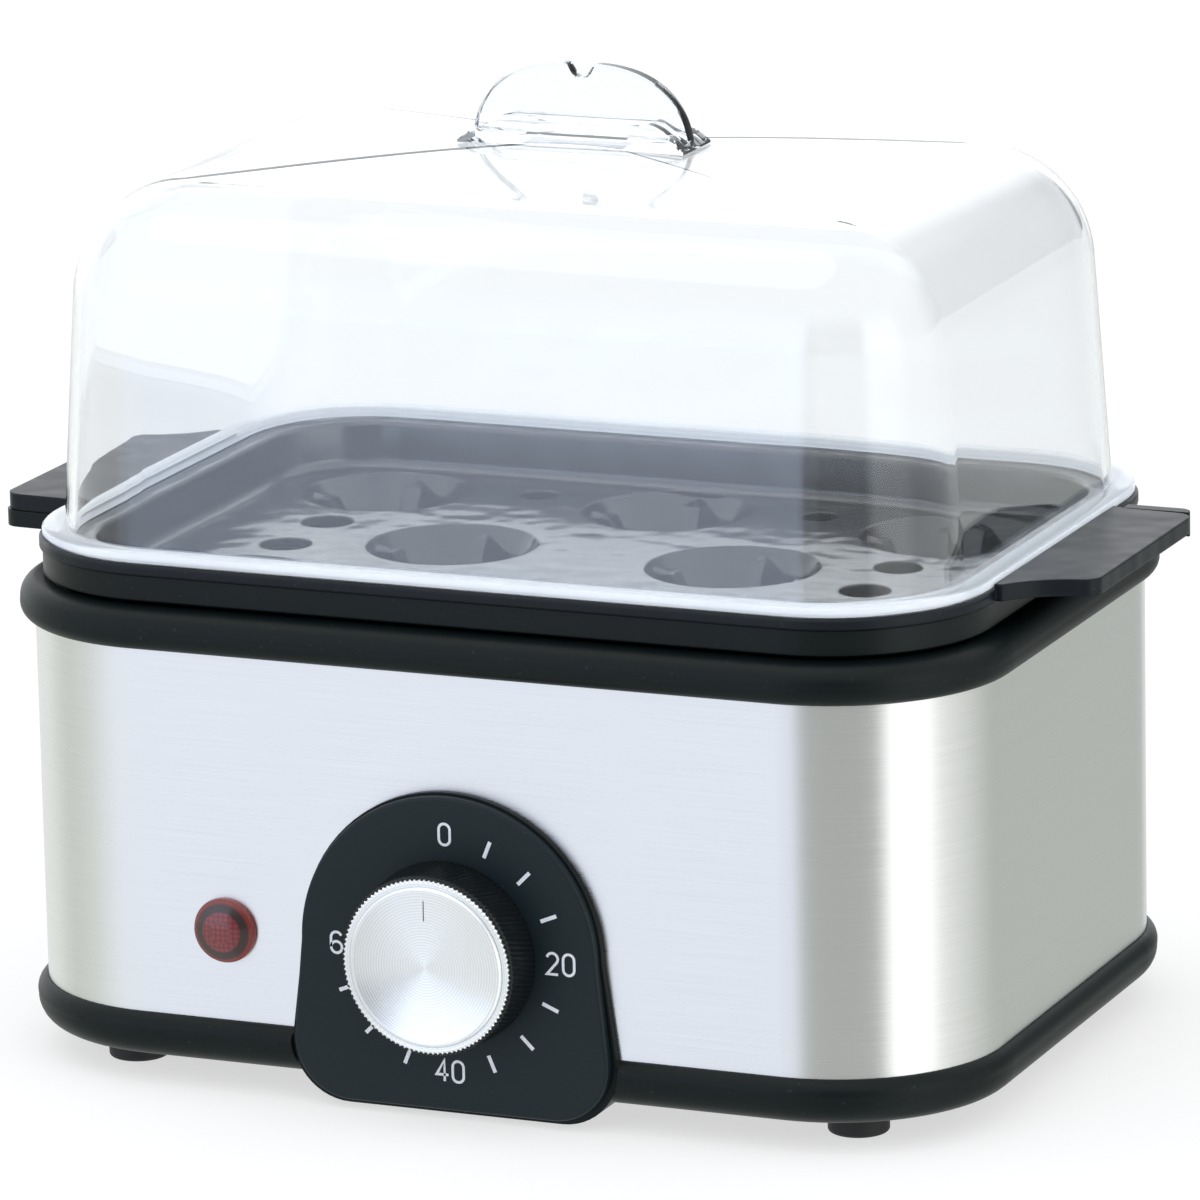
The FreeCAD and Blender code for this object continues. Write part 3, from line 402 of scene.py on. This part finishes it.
def dark_ink(name):
    """Thin dark pointer line on the knob's cap."""
    n = Nodes(name)
    cloud = n.noise(n.object_coords(), scale=1800, detail=3)
    tone = n.ramp(cloud, [(0.3, 0.12), (0.7, 0.2)])
    return n.finish(n.add("BsdfPrincipled", {"Base Color": tone, "Roughness": 0.5}))


black = (0.0025, 0.0060, 0.0065)
dial_black = (0.0060, 0.0140, 0.0175)
materials = {
    "body_plastic": moulded_plastic("body_black", black, 0.42, 0.2, edge=0.6 * MM),
    "dial_plastic": moulded_plastic("dial_black", dial_black, 0.46, 0.26, edge=0.5 * MM),
    "steel_skin": brushed_steel("brushed_steel"),
    "silicone": soft_sleeve("silicone_grey", (0.62, 0.62, 0.6), 0.5),
    "pan_metal": plain_metal("pan_aluminium", (0.62, 0.63, 0.65), 0.42),
    "heater_sheath": plain_metal("heater_sheath", (0.32, 0.31, 0.31), 0.5),
    "plated_steel": plain_metal("plated_steel", (0.66, 0.65, 0.58), 0.34),
    "screw_steel": plain_metal("screw_steel", (0.58, 0.58, 0.56), 0.3),
    "thermostat_body": soft_sleeve("thermostat_ceramic", (0.78, 0.72, 0.6), 0.5),
    "fuse_sleeve": soft_sleeve("glass_fibre", (0.82, 0.8, 0.72), 0.8),
    "timer_steel": plain_metal("timer_steel", (0.6, 0.6, 0.58), 0.36),
    "movement_brass": plain_metal("movement_brass", (0.78, 0.58, 0.28), 0.3),
    "contact_brass": plain_metal("contact_brass", (0.82, 0.6, 0.27), 0.26),
    "bell_steel": plain_metal("bell_steel", (0.74, 0.74, 0.74), 0.16),
    "red_lens": lamp_red("lamp_red"),
    "spring_steel": plain_metal("spring_steel", (0.4, 0.4, 0.42), 0.32),
    "neon_glass": soft_sleeve("neon_glass", (0.85, 0.78, 0.7), 0.12),
    "holder_plastic": moulded_plastic("holder_plastic", (0.7, 0.68, 0.6), 0.45, 0.5),
    "resistor_body": soft_sleeve("resistor_body", (0.62, 0.5, 0.3), 0.4),
    "block_plastic": moulded_plastic("block_plastic", (0.75, 0.74, 0.68), 0.45, 0.5),
    "gland_plastic": moulded_plastic("gland_black", black, 0.45, 0.4),
    "foot_rubber": soft_sleeve("foot_rubber", (0.016, 0.017, 0.018), 0.65),
    "shaft_steel": plain_metal("shaft_steel", (0.6, 0.6, 0.6), 0.24),
    "cam_plastic": moulded_plastic("cam_nylon", (0.78, 0.75, 0.66), 0.4, 0.5),
    "knob_plastic": moulded_plastic(
        "knob_black", (0.007, 0.010, 0.011), 0.3, 0.3, edge=0.12 * MM, grain=0.1
    ),
    "cap_aluminium": spun_aluminium("spun_aluminium"),
    "lower_tray_plastic": moulded_plastic("lower_tray_black", black, 0.34, 0.22, edge=0.6 * MM),
    "upper_tray_plastic": moulded_plastic(
        "upper_tray_black_painted_blue",
        # Painted reflection: the blue in this near-black stands in for the bluish light that the lid's
        # reflections lay over the tray.
        (0.006, 0.009, 0.013),
        0.15,
        1.0,
        edge=0.9 * MM,
        grain=0.03,
        wave=0.6,
        satin=0.36,
    ),
    "lid_plastic": clear_plastic("clear_lid"),
    "wire_brown": soft_sleeve("wire_brown", (0.2, 0.08, 0.035), 0.45),
    "wire_black": soft_sleeve("wire_black", (0.02, 0.02, 0.02), 0.45),
    "wire_white": soft_sleeve("wire_white", (0.8, 0.8, 0.77), 0.45),
    "wire_blue": soft_sleeve("wire_blue", (0.03, 0.1, 0.4), 0.45),
    "wire_green": soft_sleeve("wire_green", (0.14, 0.4, 0.05), 0.45),
    "lamp_wire_red": soft_sleeve("lamp_wire_red", (0.42, 0.02, 0.02), 0.45),
    "lamp_wire_black": soft_sleeve("lamp_wire_black", (0.025, 0.025, 0.025), 0.45),
}

for name, node in nodes.items():
    node.data.materials.clear()
    node.data.materials.append(materials[slot_of[name]])


# ---------------------------------------------------------------- mesh helpers


def new_piece(name, vertices, faces, body, stands_for=None, smooth_angle=35):
    """Mesh piece that rides on a CAD body, in place of the CAD node that it stands for."""
    mesh = bpy.data.meshes.new(name)
    mesh.from_pydata(vertices, [], faces)
    bm = bmesh.new()
    bm.from_mesh(mesh)
    bmesh.ops.recalc_face_normals(bm, faces=bm.faces)
    bm.to_mesh(mesh)
    bm.free()
    mesh.shade_smooth()
    mesh.set_sharp_from_angle(angle=math.radians(smooth_angle))
    piece = bpy.data.objects.new(name, mesh)
    bpy.context.scene.collection.objects.link(piece)
    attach(piece, body)
    if stands_for:
        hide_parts(stands_for)
        mesh.materials.append(materials[slot_of[stands_for]])
    return piece


def lathe(profile, count, centre, modulate=None):
    """Surface turned about the dial's direction, from a profile of (radius, y) points.

    A modulation, where given, is a function of radius, y and angle that returns the radius to use.
    """
    vertices = []
    faces = []
    for radius, y in profile:
        for k in range(count):
            angle = 2 * math.pi * k / count
            r = modulate(radius, y, angle) if modulate else radius
            vertices.append((centre[0] + r * math.cos(angle), y, centre[1] + r * math.sin(angle)))
    for row in range(len(profile) - 1):
        for k in range(count):
            a = row * count + k
            b = row * count + (k + 1) % count
            faces.append((a, b, b + count, a + count))
    faces.append(tuple(range(count)))
    last = (len(profile) - 1) * count
    faces.append(tuple(range(last, last + count)))
    return vertices, faces


# ---------------------------------------------------------------- lid

LID_WALL = 2.0 * MM
LID_DRAFT = math.radians(4)
LID_SHOULDER = 24 * MM
LID_WALL_INSET = 7.0 * MM
FLANGE_INSET = 2.0 * MM
CROWN_RISE = 6.5 * MM
GRIP_RISE = 17.3 * MM
SHOULDER_TOP = lid_high.z - GRIP_RISE - CROWN_RISE


def lid_loop(inset, height, steps=14):
    """One loop of the lid's body at an inset from the steel outline, raised by the crown's dome."""
    radius = corner - inset
    points = []
    for quarter in range(4):
        cx = (half_x - corner) * (1 if quarter in (0, 3) else -1)
        cy = (half_y - corner) * (1 if quarter in (0, 1) else -1)
        for k in range(steps + 1):
            angle = math.pi / 2 * (quarter + k / steps)
            x = cx + radius * math.cos(angle)
            y = cy + radius * math.sin(angle)
            points.append((x, y, height + dome(x, y)))
    return points


def dome(x, y):
    """Height of the lid's shallow crown over its shoulder line."""
    reach_x = half_x - LID_WALL_INSET
    reach_y = half_y - LID_WALL_INSET
    across = max(0.0, 1 - (x / reach_x) ** 2)
    along = max(0.0, 1 - (y / reach_y) ** 2)
    return CROWN_RISE * across * along


def lid_side(wall_inset, low, top, shoulder):
    """(inset, height) points up one face of the lid: wall with draft, then the shoulder's arc."""
    centre_z = top - shoulder
    start_z = centre_z + shoulder * math.sin(LID_DRAFT)
    start_inset = wall_inset + (start_z - low) * math.tan(LID_DRAFT)
    centre_inset = start_inset + shoulder * math.cos(LID_DRAFT)
    points = []
    for k in range(9):
        t = k / 8
        points.append((wall_inset + (start_inset - wall_inset) * t, low + (start_z - low) * t))
    turn = 90 - math.degrees(LID_DRAFT)
    for k in range(1, 17):
        angle = LID_DRAFT + math.radians(turn * k / 16)
        points.append((centre_inset - shoulder * math.cos(angle), centre_z + shoulder * math.sin(angle)))
    return points


def lid_cover():
    """Clear cover with real wall thickness: outer and inner faces closed through the flange."""
    bottom = lid_low.z
    flange_top = bottom + FLANGE_THICKNESS
    top = SHOULDER_TOP
    soft = 0.5 * MM
    outer = lid_side(LID_WALL_INSET, flange_top, top, LID_SHOULDER)
    inner = lid_side(LID_WALL_INSET + LID_WALL, bottom, top - LID_WALL, LID_SHOULDER - LID_WALL)
    flange = [
        (FLANGE_INSET + soft, bottom),
        (FLANGE_INSET, bottom + soft),
        (FLANGE_INSET, flange_top - soft),
        (FLANGE_INSET + soft, flange_top),
        (LID_WALL_INSET - 2 * soft, flange_top),
    ]
    rings = [lid_loop(*point) for point in list(reversed(inner)) + flange + outer]
    count = len(rings[0])
    vertices = [point for ring in rings for point in ring]
    faces = []
    for row in range(len(rings) - 1):
        for k in range(count):
            a = row * count + k
            b = row * count + (k + 1) % count
            faces.append((a, b, b + count, a + count))
    for ring, height in ((rings[0], top - LID_WALL), (rings[-1], top)):
        first = 0 if ring is rings[0] else (len(rings) - 1) * count
        faces += cap_faces(vertices, ring, first, height)
    return new_piece("lid_cover", vertices, faces, "cover", stands_for="lid", smooth_angle=50)


def cap_faces(vertices, ring, first, height):
    """Closes a loop of the lid with shrinking copies of it down to the middle, on the dome."""
    count = len(ring)
    copies = 12
    faces = []
    previous = first
    for step in range(1, copies + 1):
        share = 1 - step / (copies + 1)
        start = len(vertices)
        for x, y, _ in ring:
            vertices.append((x * share, y * share, height + dome(x * share, y * share)))
        for k in range(count):
            follow = (k + 1) % count
            faces.append((previous + k, previous + follow, start + follow, start + k))
        previous = start
    faces.append(tuple(range(previous, previous + count)))
    return faces


lid_cover()


def lid_grip():
    """Half-moon grip with a notch in its crest, on two thicker steps, lofted along X as one moulding."""
    crown = lid_high.z - GRIP_RISE
    fin_half = 25.0 * MM
    fin_rise = 16.9 * MM
    fin_half_thickness = 1.8 * MM
    notch_depth = 2.9 * MM
    notch_half = 2.3 * MM
    foot_reach = 26.3 * MM
    foot_half_width = 7.8 * MM
    foot_height = 2.6 * MM
    step_reach = 24.6 * MM
    step_half_width = 4.4 * MM
    step_top = 5.0 * MM
    soft = 0.45 * MM
    gap = 0.02 * MM

    def fin_height(x):
        rise = fin_rise * math.sqrt(max(0.0, 1 - (abs(x) / fin_half) ** 2.7))
        return rise - notch_depth * math.exp(-((x / notch_half) ** 4))

    def step_height(x, reach, height):
        slope = min(1.0, max(0.0, (reach - abs(x)) / (height * 1.7)))
        return height * math.sin(slope * math.pi / 2)

    count = 150
    vertices = []
    for k in range(count + 1):
        x = -foot_reach + 2 * foot_reach * k / count
        levels = [
            (foot_half_width, step_height(x, foot_reach, foot_height)),
            (step_half_width, step_height(x, step_reach, step_top)),
            (fin_half_thickness, fin_height(x)),
        ]
        section = []
        high = 0.05 * MM
        for width, level in levels:
            below = high
            high = max(level, below + gap)
            bend = min(soft, (high - below) / 2)
            section += [(width, below), (width, high - bend), (width - bend, high)]
        section[0] = (foot_half_width, dome(x, foot_half_width) - CROWN_RISE + gap)
        right = [(x, y, crown + z) for y, z in section]
        left = [(x, -y, crown + z) for y, z in reversed(section)]
        vertices += right + left
    row = len(vertices) // (count + 1)
    faces = [tuple(range(row)), tuple(range(row * count, row * count + row))]
    for k in range(count):
        for j in range(row):
            a = row * k + j
            b = row * k + (j + 1) % row
            faces.append((a, b, b + row, a + row))
    piece = new_piece("lid_grip", vertices, faces, "cover", smooth_angle=40)
    piece.data.materials.append(materials["lid_plastic"])


lid_grip()


# ---------------------------------------------------------------- egg cups


def cup_ribs():
    """Four round-headed ribs down the wall of each egg cup, placed from the frame's cup openings."""
    foot_radius = 12.6 * MM
    mouth_radius = 18.0 * MM
    sunk = 0.6 * MM
    reach = 4.4 * MM
    foot_half_width = 3.9 * MM
    narrowing = 1.9 * MM
    head_start = 0.62
    rows = 14
    columns = 8
    vertices = []
    faces = []
    for opening in frame["record"]["physics"]["openings"]:
        if not opening["name"].startswith("egg_cup"):
            continue
        low, high = (Vector(point) for point in opening["box_m"])
        middle = (low + high) / 2
        top = high.z - 1.2 * MM
        for turn in range(4):
            angle = math.radians(90 * turn)
            out = Vector((math.cos(angle), math.sin(angle)))
            aside = Vector((-out.y, out.x))
            first = len(vertices)
            for row in range(rows + 1):
                share = row / rows
                wall = foot_radius + (mouth_radius - foot_radius) * share
                half_width = foot_half_width - narrowing * share
                past_head = max(0.0, (share - head_start) / (1 - head_start))
                head = math.sqrt(max(0.0, 1 - past_head**2))
                z = low.z + (top - low.z) * share
                for k in range(columns + 1):
                    bend = math.pi * (k / columns - 0.5)
                    point = out * (wall + sunk - reach * head * math.cos(bend))
                    point += aside * (half_width * max(head, 0.05) * math.sin(bend))
                    vertices.append((middle.x + point.x, middle.y + point.y, z))
            for row in range(rows):
                for k in range(columns):
                    a = first + row * (columns + 1) + k
                    faces.append((a, a + 1, a + columns + 2, a + columns + 1))
    piece = new_piece("cup_ribs", vertices, faces, "upper_tray", smooth_angle=60)
    piece.data.materials.append(materials["upper_tray_plastic"])


cup_ribs()


# ---------------------------------------------------------------- knob and dial

FLUTES = 108
TWIST = math.radians(9)


def fluted_knob():
    """Knob skirt with fine slanted flutes."""
    front = knob_low.y
    back = knob_high.y
    depth = back - front

    def flute(radius, y, angle):
        if radius < knob_radius - 1.2 * MM:
            return radius
        phase = FLUTES * (angle + TWIST * (y - front) / depth)
        return radius - 0.32 * MM * (0.5 + 0.5 * math.cos(phase)) ** 1.5

    profile = [(knob_radius - 2.0 * MM, front), (knob_radius - 0.9 * MM, front)]
    rows = 16
    for k in range(rows + 1):
        t = k / rows
        profile.append((knob_radius - 0.6 * MM + 0.6 * MM * t, front + 0.3 * MM + (depth - 0.3 * MM) * t))
    profile.append((knob_radius - 3.0 * MM, back))
    vertices, faces = lathe(profile, FLUTES * 8, (0, dial_height), flute)
    return new_piece("knob_skirt", vertices, faces, "dial_knob", stands_for="timer_knob", smooth_angle=60)


fluted_knob()


def knob_face():
    """Aluminium cap: knurled flange, small gap, bevelled and slightly raised grooved disc."""
    front = cap_low.y
    back = cap_high.y
    radius = cap_high.x
    disc = 17.4 * MM
    step = front + 0.5 * MM

    def knurl(r, y, angle):
        if r < radius - 0.5 * MM:
            return r
        return r - 0.38 * MM * abs(math.sin(FLUTES * angle / 2)) ** 0.8

    profile = [
        (0.02 * MM, front + 0.02 * MM),
        (disc - 1.15 * MM, front + 0.12 * MM),
        (disc - 0.9 * MM, front),
        (disc - 0.45 * MM, front + 0.02 * MM),
        (disc, step - 0.1 * MM),
        (disc + 0.05 * MM, step + 0.25 * MM),
        (disc + 0.25 * MM, step + 0.05 * MM),
        (radius - 0.35 * MM, step),
        (radius, step + 0.25 * MM),
        (radius, back),
    ]
    vertices, faces = lathe(profile, FLUTES * 8, (0, dial_height), knurl)
    return new_piece("knob_disc", vertices, faces, "dial_knob", stands_for="knob_cap", smooth_angle=30)


knob_face()


INK_DEPTH = 0.03 * MM


def flat_mark(name, points, y, body, material):
    """Thin printed shape in the XZ plane, facing the front."""
    count = len(points)
    vertices = [(x, y, z) for x, z in points] + [(x, y + INK_DEPTH, z) for x, z in points]
    faces = [tuple(range(count)), tuple(range(2 * count - 1, count - 1, -1))]
    for k in range(count):
        follow = (k + 1) % count
        faces.append((k, follow, follow + count, k + count))
    piece = new_piece(name, vertices, faces, body)
    piece.data.materials.append(material)
    return piece


ink = white_ink("dial_ink")
MINUTE = math.radians(4.5)
MARK_RADIUS = 25.4 * MM
print_y = plate_front - 0.02 * MM


def dial_marks():
    """Ticks every five minutes between the numbers."""
    half_length = 1.95 * MM
    half_width = 0.42 * MM
    for minute in range(5, 60, 5):
        if minute % 20 == 0:
            continue
        angle = minute * MINUTE
        out = Vector((math.sin(angle), math.cos(angle)))
        side = Vector((out.y, -out.x))
        middle = Vector((0, dial_height)) + out * MARK_RADIUS
        points = []
        for a, b in ((-1, -1), (1, -1), (1, 1), (-1, 1)):
            points.append(middle + out * (a * half_length) + side * (b * half_width))
        mark = flat_mark(f"minute_mark_{minute:02d}", points, print_y, "base", ink)


dial_marks()


DIGIT_HEIGHT = 5.2 * MM
DIGIT_WIDTH = 3.1 * MM
STROKE = 0.58 * MM


def turn_points(cx, cz, rx, rz, start, end, steps=10):
    """Points on an elliptic arc, with the angles in degrees."""
    points = []
    for k in range(steps + 1):
        angle = math.radians(start + (end - start) * k / steps)
        points.append((cx + rx * math.cos(angle), cz + rz * math.sin(angle)))
    return points


def digit_strokes(digit):
    """Centre lines of a plain numeral's strokes, about its middle."""
    w = (DIGIT_WIDTH - STROKE) / 2
    h = (DIGIT_HEIGHT - STROKE) / 2
    if digit == "0":
        side = h - w
        upper = turn_points(0, side, w, w, 0, 180)
        lower = turn_points(0, -side, w, w, 180, 360)
        return [upper + lower + upper[:1]]
    if digit == "2":
        hook = turn_points(0, h - w, w, w, 165, -38)
        return [hook + [(-w, -h), (w, -h)]]
    if digit == "4":
        return [[(0.45 * w, -h), (0.45 * w, h), (-w, -0.38 * h), (1.15 * w, -0.38 * h)]]
    bowl = turn_points(0, -h + w, w, w, 0, 360, 20)
    back = turn_points(0, h - 1.02 * w, w, 1.02 * w, 25, 180, 8)
    return [bowl, back + [(-w, -h + w)]]


def dial_numbers():
    """Generic numbers of the minute scale, in plain strokes of one width.

    The 60 stands closer to the knob than the rest.
    """
    for minute in (0, 20, 40, 60):
        angle = minute * MINUTE
        reach = MARK_RADIUS + (0.6 * MM if minute < 60 else -1.6 * MM)
        text = str(minute)
        vertices = []
        faces = []
        for place, digit in enumerate(text):
            shift = (place - (len(text) - 1) / 2) * (DIGIT_WIDTH + 0.62 * MM)
            middle = (math.sin(angle) * reach + shift, dial_height + math.cos(angle) * reach)
            for line in digit_strokes(digit):
                stroke_ribbon(line, middle, vertices, faces)
        piece = new_piece(f"dial_number_{minute:02d}", vertices, faces, "base")
        piece.data.materials.append(ink)


def stroke_ribbon(line, middle, vertices, faces):
    """Adds a raised strip of the stroke's width along a line of (x, z) points, with mitred bends."""
    points = [Vector(point) for point in line]
    closed = (points[0] - points[-1]).length < 1e-7
    first = len(vertices)
    for k, point in enumerate(points):
        before = points[k - 1] if k else (points[-2] if closed else None)
        after = points[k + 1] if k + 1 < len(points) else (points[1] if closed else None)
        ahead = (after - point).normalized() if after is not None else (point - before).normalized()
        behind = (point - before).normalized() if before is not None else ahead
        along = (ahead + behind).normalized()
        across = Vector((-along.y, along.x)) * (STROKE / 2 / max(0.45, along.dot(ahead)))
        for side in (across, -across):
            for y in (print_y, print_y + INK_DEPTH):
                vertices.append((middle[0] + point.x + side.x, y, middle[1] + point.y + side.y))
    for k in range(len(points) - 1):
        a = first + 4 * k
        for i, j in ((0, 2), (2, 3), (3, 1), (1, 0)):
            faces.append((a + i, a + j, a + j + 4, a + i + 4))
    if not closed:
        last = first + 4 * (len(points) - 1)
        faces.append((first, first + 1, first + 3, first + 2))
        faces.append((last, last + 2, last + 3, last + 1))


dial_numbers()


def pointer_line():
    """Fine line on the cap that points at the scale."""
    inner = dial_height + 10.2 * MM
    outer = dial_height + 14.6 * MM
    inner_half = 0.12 * MM
    outer_half = 0.10 * MM
    points = [(-inner_half, inner), (inner_half, inner), (outer_half, outer), (-outer_half, outer)]
    line = flat_mark("pointer_line", points, cap_low.y + 0.03 * MM, "dial_knob", dark_ink("pointer_ink"))


pointer_line()


# ---------------------------------------------------------------- pilot lens


def lamp_lens():
    """Domed lens with a rounded collar outside the steel and its barrel inside."""
    centre = (lens_low + lens_high) / 2
    radius = lens_high.x - centre.x
    front = lens_low.y
    seat = steel_low.y
    rise = 1.9 * MM
    sphere = (radius**2 + rise**2) / (2 * rise)
    profile = []
    for k in range(13):
        r = radius * (0.004 + 0.956 * k / 12)
        profile.append((r, front + sphere - math.sqrt(sphere**2 - r**2)))
    edge = front + rise + 0.1 * MM
    profile += arc_down(radius, edge, 0.45 * MM)
    barrel = 5.8 * MM
    collar_back = seat - 0.1 * MM
    profile += [(radius, collar_back), (barrel, collar_back), (barrel, lens_high.y)]
    vertices, faces = lathe(profile, 96, (centre.x, centre.z))
    return new_piece("lamp_lens", vertices, faces, "base", stands_for="pilot_lens", smooth_angle=40)


def arc_down(radius, y, soft):
    """Four (radius, y) points round a collar's front edge."""
    points = []
    for angle in (0.4, 0.8, 1.2, 1.5):
        points.append((radius - soft + soft * math.sin(angle), y + soft - soft * math.cos(angle)))
    return points


lamp_lens()


# ---------------------------------------------------------------- studio


def stage_floor():
    """Wide white floor that takes soft shadows. Glossy surfaces don't mirror it."""
    mesh = bpy.data.meshes.new("floor")
    size = 6.0
    corners = [(-size, -size, 0), (size, -size, 0), (size, size, 0), (-size, size, 0)]
    mesh.from_pydata(corners, [], [(0, 1, 2, 3)])
    floor = bpy.data.objects.new("floor", mesh)
    bpy.context.scene.collection.objects.link(floor)
    n = Nodes("pale_floor")
    cloud = n.noise(n.object_coords(), scale=3, detail=2)
    surface = n.add("BsdfDiffuse", {"Color": n.ramp(cloud, [(0.3, 0.36), (0.7, 0.38)])})
    glow = n.add("Emission", {"Color": rgba(1.0), "Strength": 0.63})
    mesh.materials.append(n.finish(n.add("AddShader", {0: surface.outputs[0], 1: glow.outputs[0]})))
    floor.visible_glossy = False


def studio_world():
    """Soft light from all round.

    Two rings of panels, one just below the horizon and one above it, are cool to the left, dim towards
    the camera and bright in a strip to the right. Overhead is an even white.
    """
    world = bpy.data.worlds.new("studio")
    bpy.context.scene.world = world
    world.use_nodes = True
    tree = world.node_tree
    tree.nodes.clear()

    def add(kind, **settings):
        node = tree.nodes.new("ShaderNode" + kind)
        for name, value in settings.items():
            setattr(node, name, value)
        return node

    def operate(operation, first, second=None):
        node = add("Math", operation=operation)
        for socket, value in zip(node.inputs, (first, second)):
            if isinstance(value, bpy.types.NodeSocket):
                tree.links.new(value, socket)
            elif value is not None:
                socket.default_value = value
        return node.outputs[0]

    direction = add("SeparateXYZ")
    tree.links.new(add("TexCoord").outputs["Generated"], direction.inputs[0])
    x, y, z = direction.outputs
    azimuth = operate("ARCTAN2", x, operate("MULTIPLY", y, -1.0))
    turn = operate("ADD", operate("DIVIDE", azimuth, 2 * math.pi), 0.5)

    def panels(stops):
        """Colours round the horizon, from (degrees, colour) stops."""
        node = add("ValToRGB")
        tree.links.new(turn, node.inputs["Fac"])
        elements = node.color_ramp.elements
        while len(elements) < len(stops):
            elements.new(0.5)
        for element, (degrees, colour) in zip(elements, stops):
            element.position = degrees / 360 + 0.5
            element.color = rgba(colour)
        return node.outputs["Color"]

    cool = (0.80, 0.83, 0.88)
    gap = (0.55, 0.57, 0.545)
    strip = (1.32, 1.35, 1.32)
    low = panels(
        [
            (-180, 0.80),
            (-110, (0.79, 0.82, 0.78)),
            (-85, (0.60, 0.63, 0.57)),
            (-60, (0.71, 0.73, 0.69)),
            (-42, (0.80, 0.83, 0.82)),
            (-24, cool),
            (-12, cool),
            (-3, gap),
            (46, gap),
            (58, strip),
            (78, strip),
            (92, (0.90, 0.93, 0.90)),
            (122, (0.66, 0.69, 0.65)),
            (150, (0.54, 0.57, 0.53)),
            (172, (0.52, 0.55, 0.52)),
            (180, 0.80),
        ]
    )
    back = (1.40, 1.43, 1.46)
    lavender = (1.25, 1.38, 1.68)
    rear_gap = (0.30, 0.31, 0.32)
    shade = (0.17, 0.18, 0.18)
    band = panels(
        [
            (-180, back),
            (-120, back),
            (-92, (0.85, 0.88, 0.88)),
            (-60, (0.95, 0.98, 1.0)),
            (-40, lavender),
            (-12, lavender),
            (-4, shade),
            (46, shade),
            (56, 1.9),
            (80, 1.9),
            (94, 1.0),
            (120, 0.8),
            (138, rear_gap),
            (172, rear_gap),
            (180, back),
        ]
    )

    def rise(start, end):
        """Share that grows from 0 to 1 with the direction's height."""
        node = add("MapRange")
        tree.links.new(z, node.inputs["Value"])
        node.inputs["From Min"].default_value = start
        node.inputs["From Max"].default_value = end
        return node.outputs[0]

    lower = add("Mix", data_type="RGBA")
    tree.links.new(rise(-0.17, -0.08), lower.inputs[0])
    tree.links.new(low, lower.inputs[6])
    tree.links.new(band, lower.inputs[7])
    mix = add("Mix", data_type="RGBA")
    tree.links.new(rise(0.3, 0.6), mix.inputs[0])
    tree.links.new(lower.outputs[2], mix.inputs[6])
    mix.inputs[7].default_value = rgba((1.12, 1.14, 1.17))
    background = add("Background")
    tree.links.new(mix.outputs[2], background.inputs["Color"])
    background.inputs["Strength"].default_value = 1.0
    output = add("OutputWorld")
    tree.links.new(background.outputs[0], output.inputs["Surface"])


def soft_lamp(name, location, target, size, power, colour=(1, 1, 1)):
    lamp = bpy.data.lights.new(name, "AREA")
    lamp.shape = "DISK"
    lamp.size = size
    lamp.energy = power
    lamp.color = colour
    holder = bpy.data.objects.new(name, lamp)
    holder.location = location
    direction = Vector(target) - Vector(location)
    holder.rotation_mode = "QUATERNION"
    holder.rotation_quaternion = direction.to_track_quat("-Z", "Y")
    bpy.context.scene.collection.objects.link(holder)


def photo_camera():
    """Camera right of the dial and above it, with a long lens."""
    azimuth = math.radians(23.12)
    elevation = math.radians(14.0)
    roll = math.radians(1.19)
    target = Vector((1.6, 0.0, 94.3)) * MM
    distance = 1920 * MM
    back = Vector(
        (
            math.sin(azimuth) * math.cos(elevation),
            -math.cos(azimuth) * math.cos(elevation),
            math.sin(elevation),
        )
    )
    data = bpy.data.cameras.new("photo_camera")
    data.lens = 264.6
    data.sensor_width = 36
    data.clip_start = 0.1
    data.clip_end = 50
    camera = bpy.data.objects.new("photo_camera", data)
    camera.location = target + back * distance
    camera.rotation_mode = "QUATERNION"
    level = (-back).to_track_quat("-Z", "Y")
    camera.rotation_quaternion = level @ Euler((0, 0, -roll)).to_quaternion()
    bpy.context.scene.collection.objects.link(camera)
    bpy.context.scene.camera = camera


stage_floor()
studio_world()
soft_lamp("top_lamp", location=(-0.5, -0.4, 2.2), target=(0, 0, 0), size=1.6, power=4)
photo_camera()
bpy.context.scene.view_settings.view_transform = "Standard"
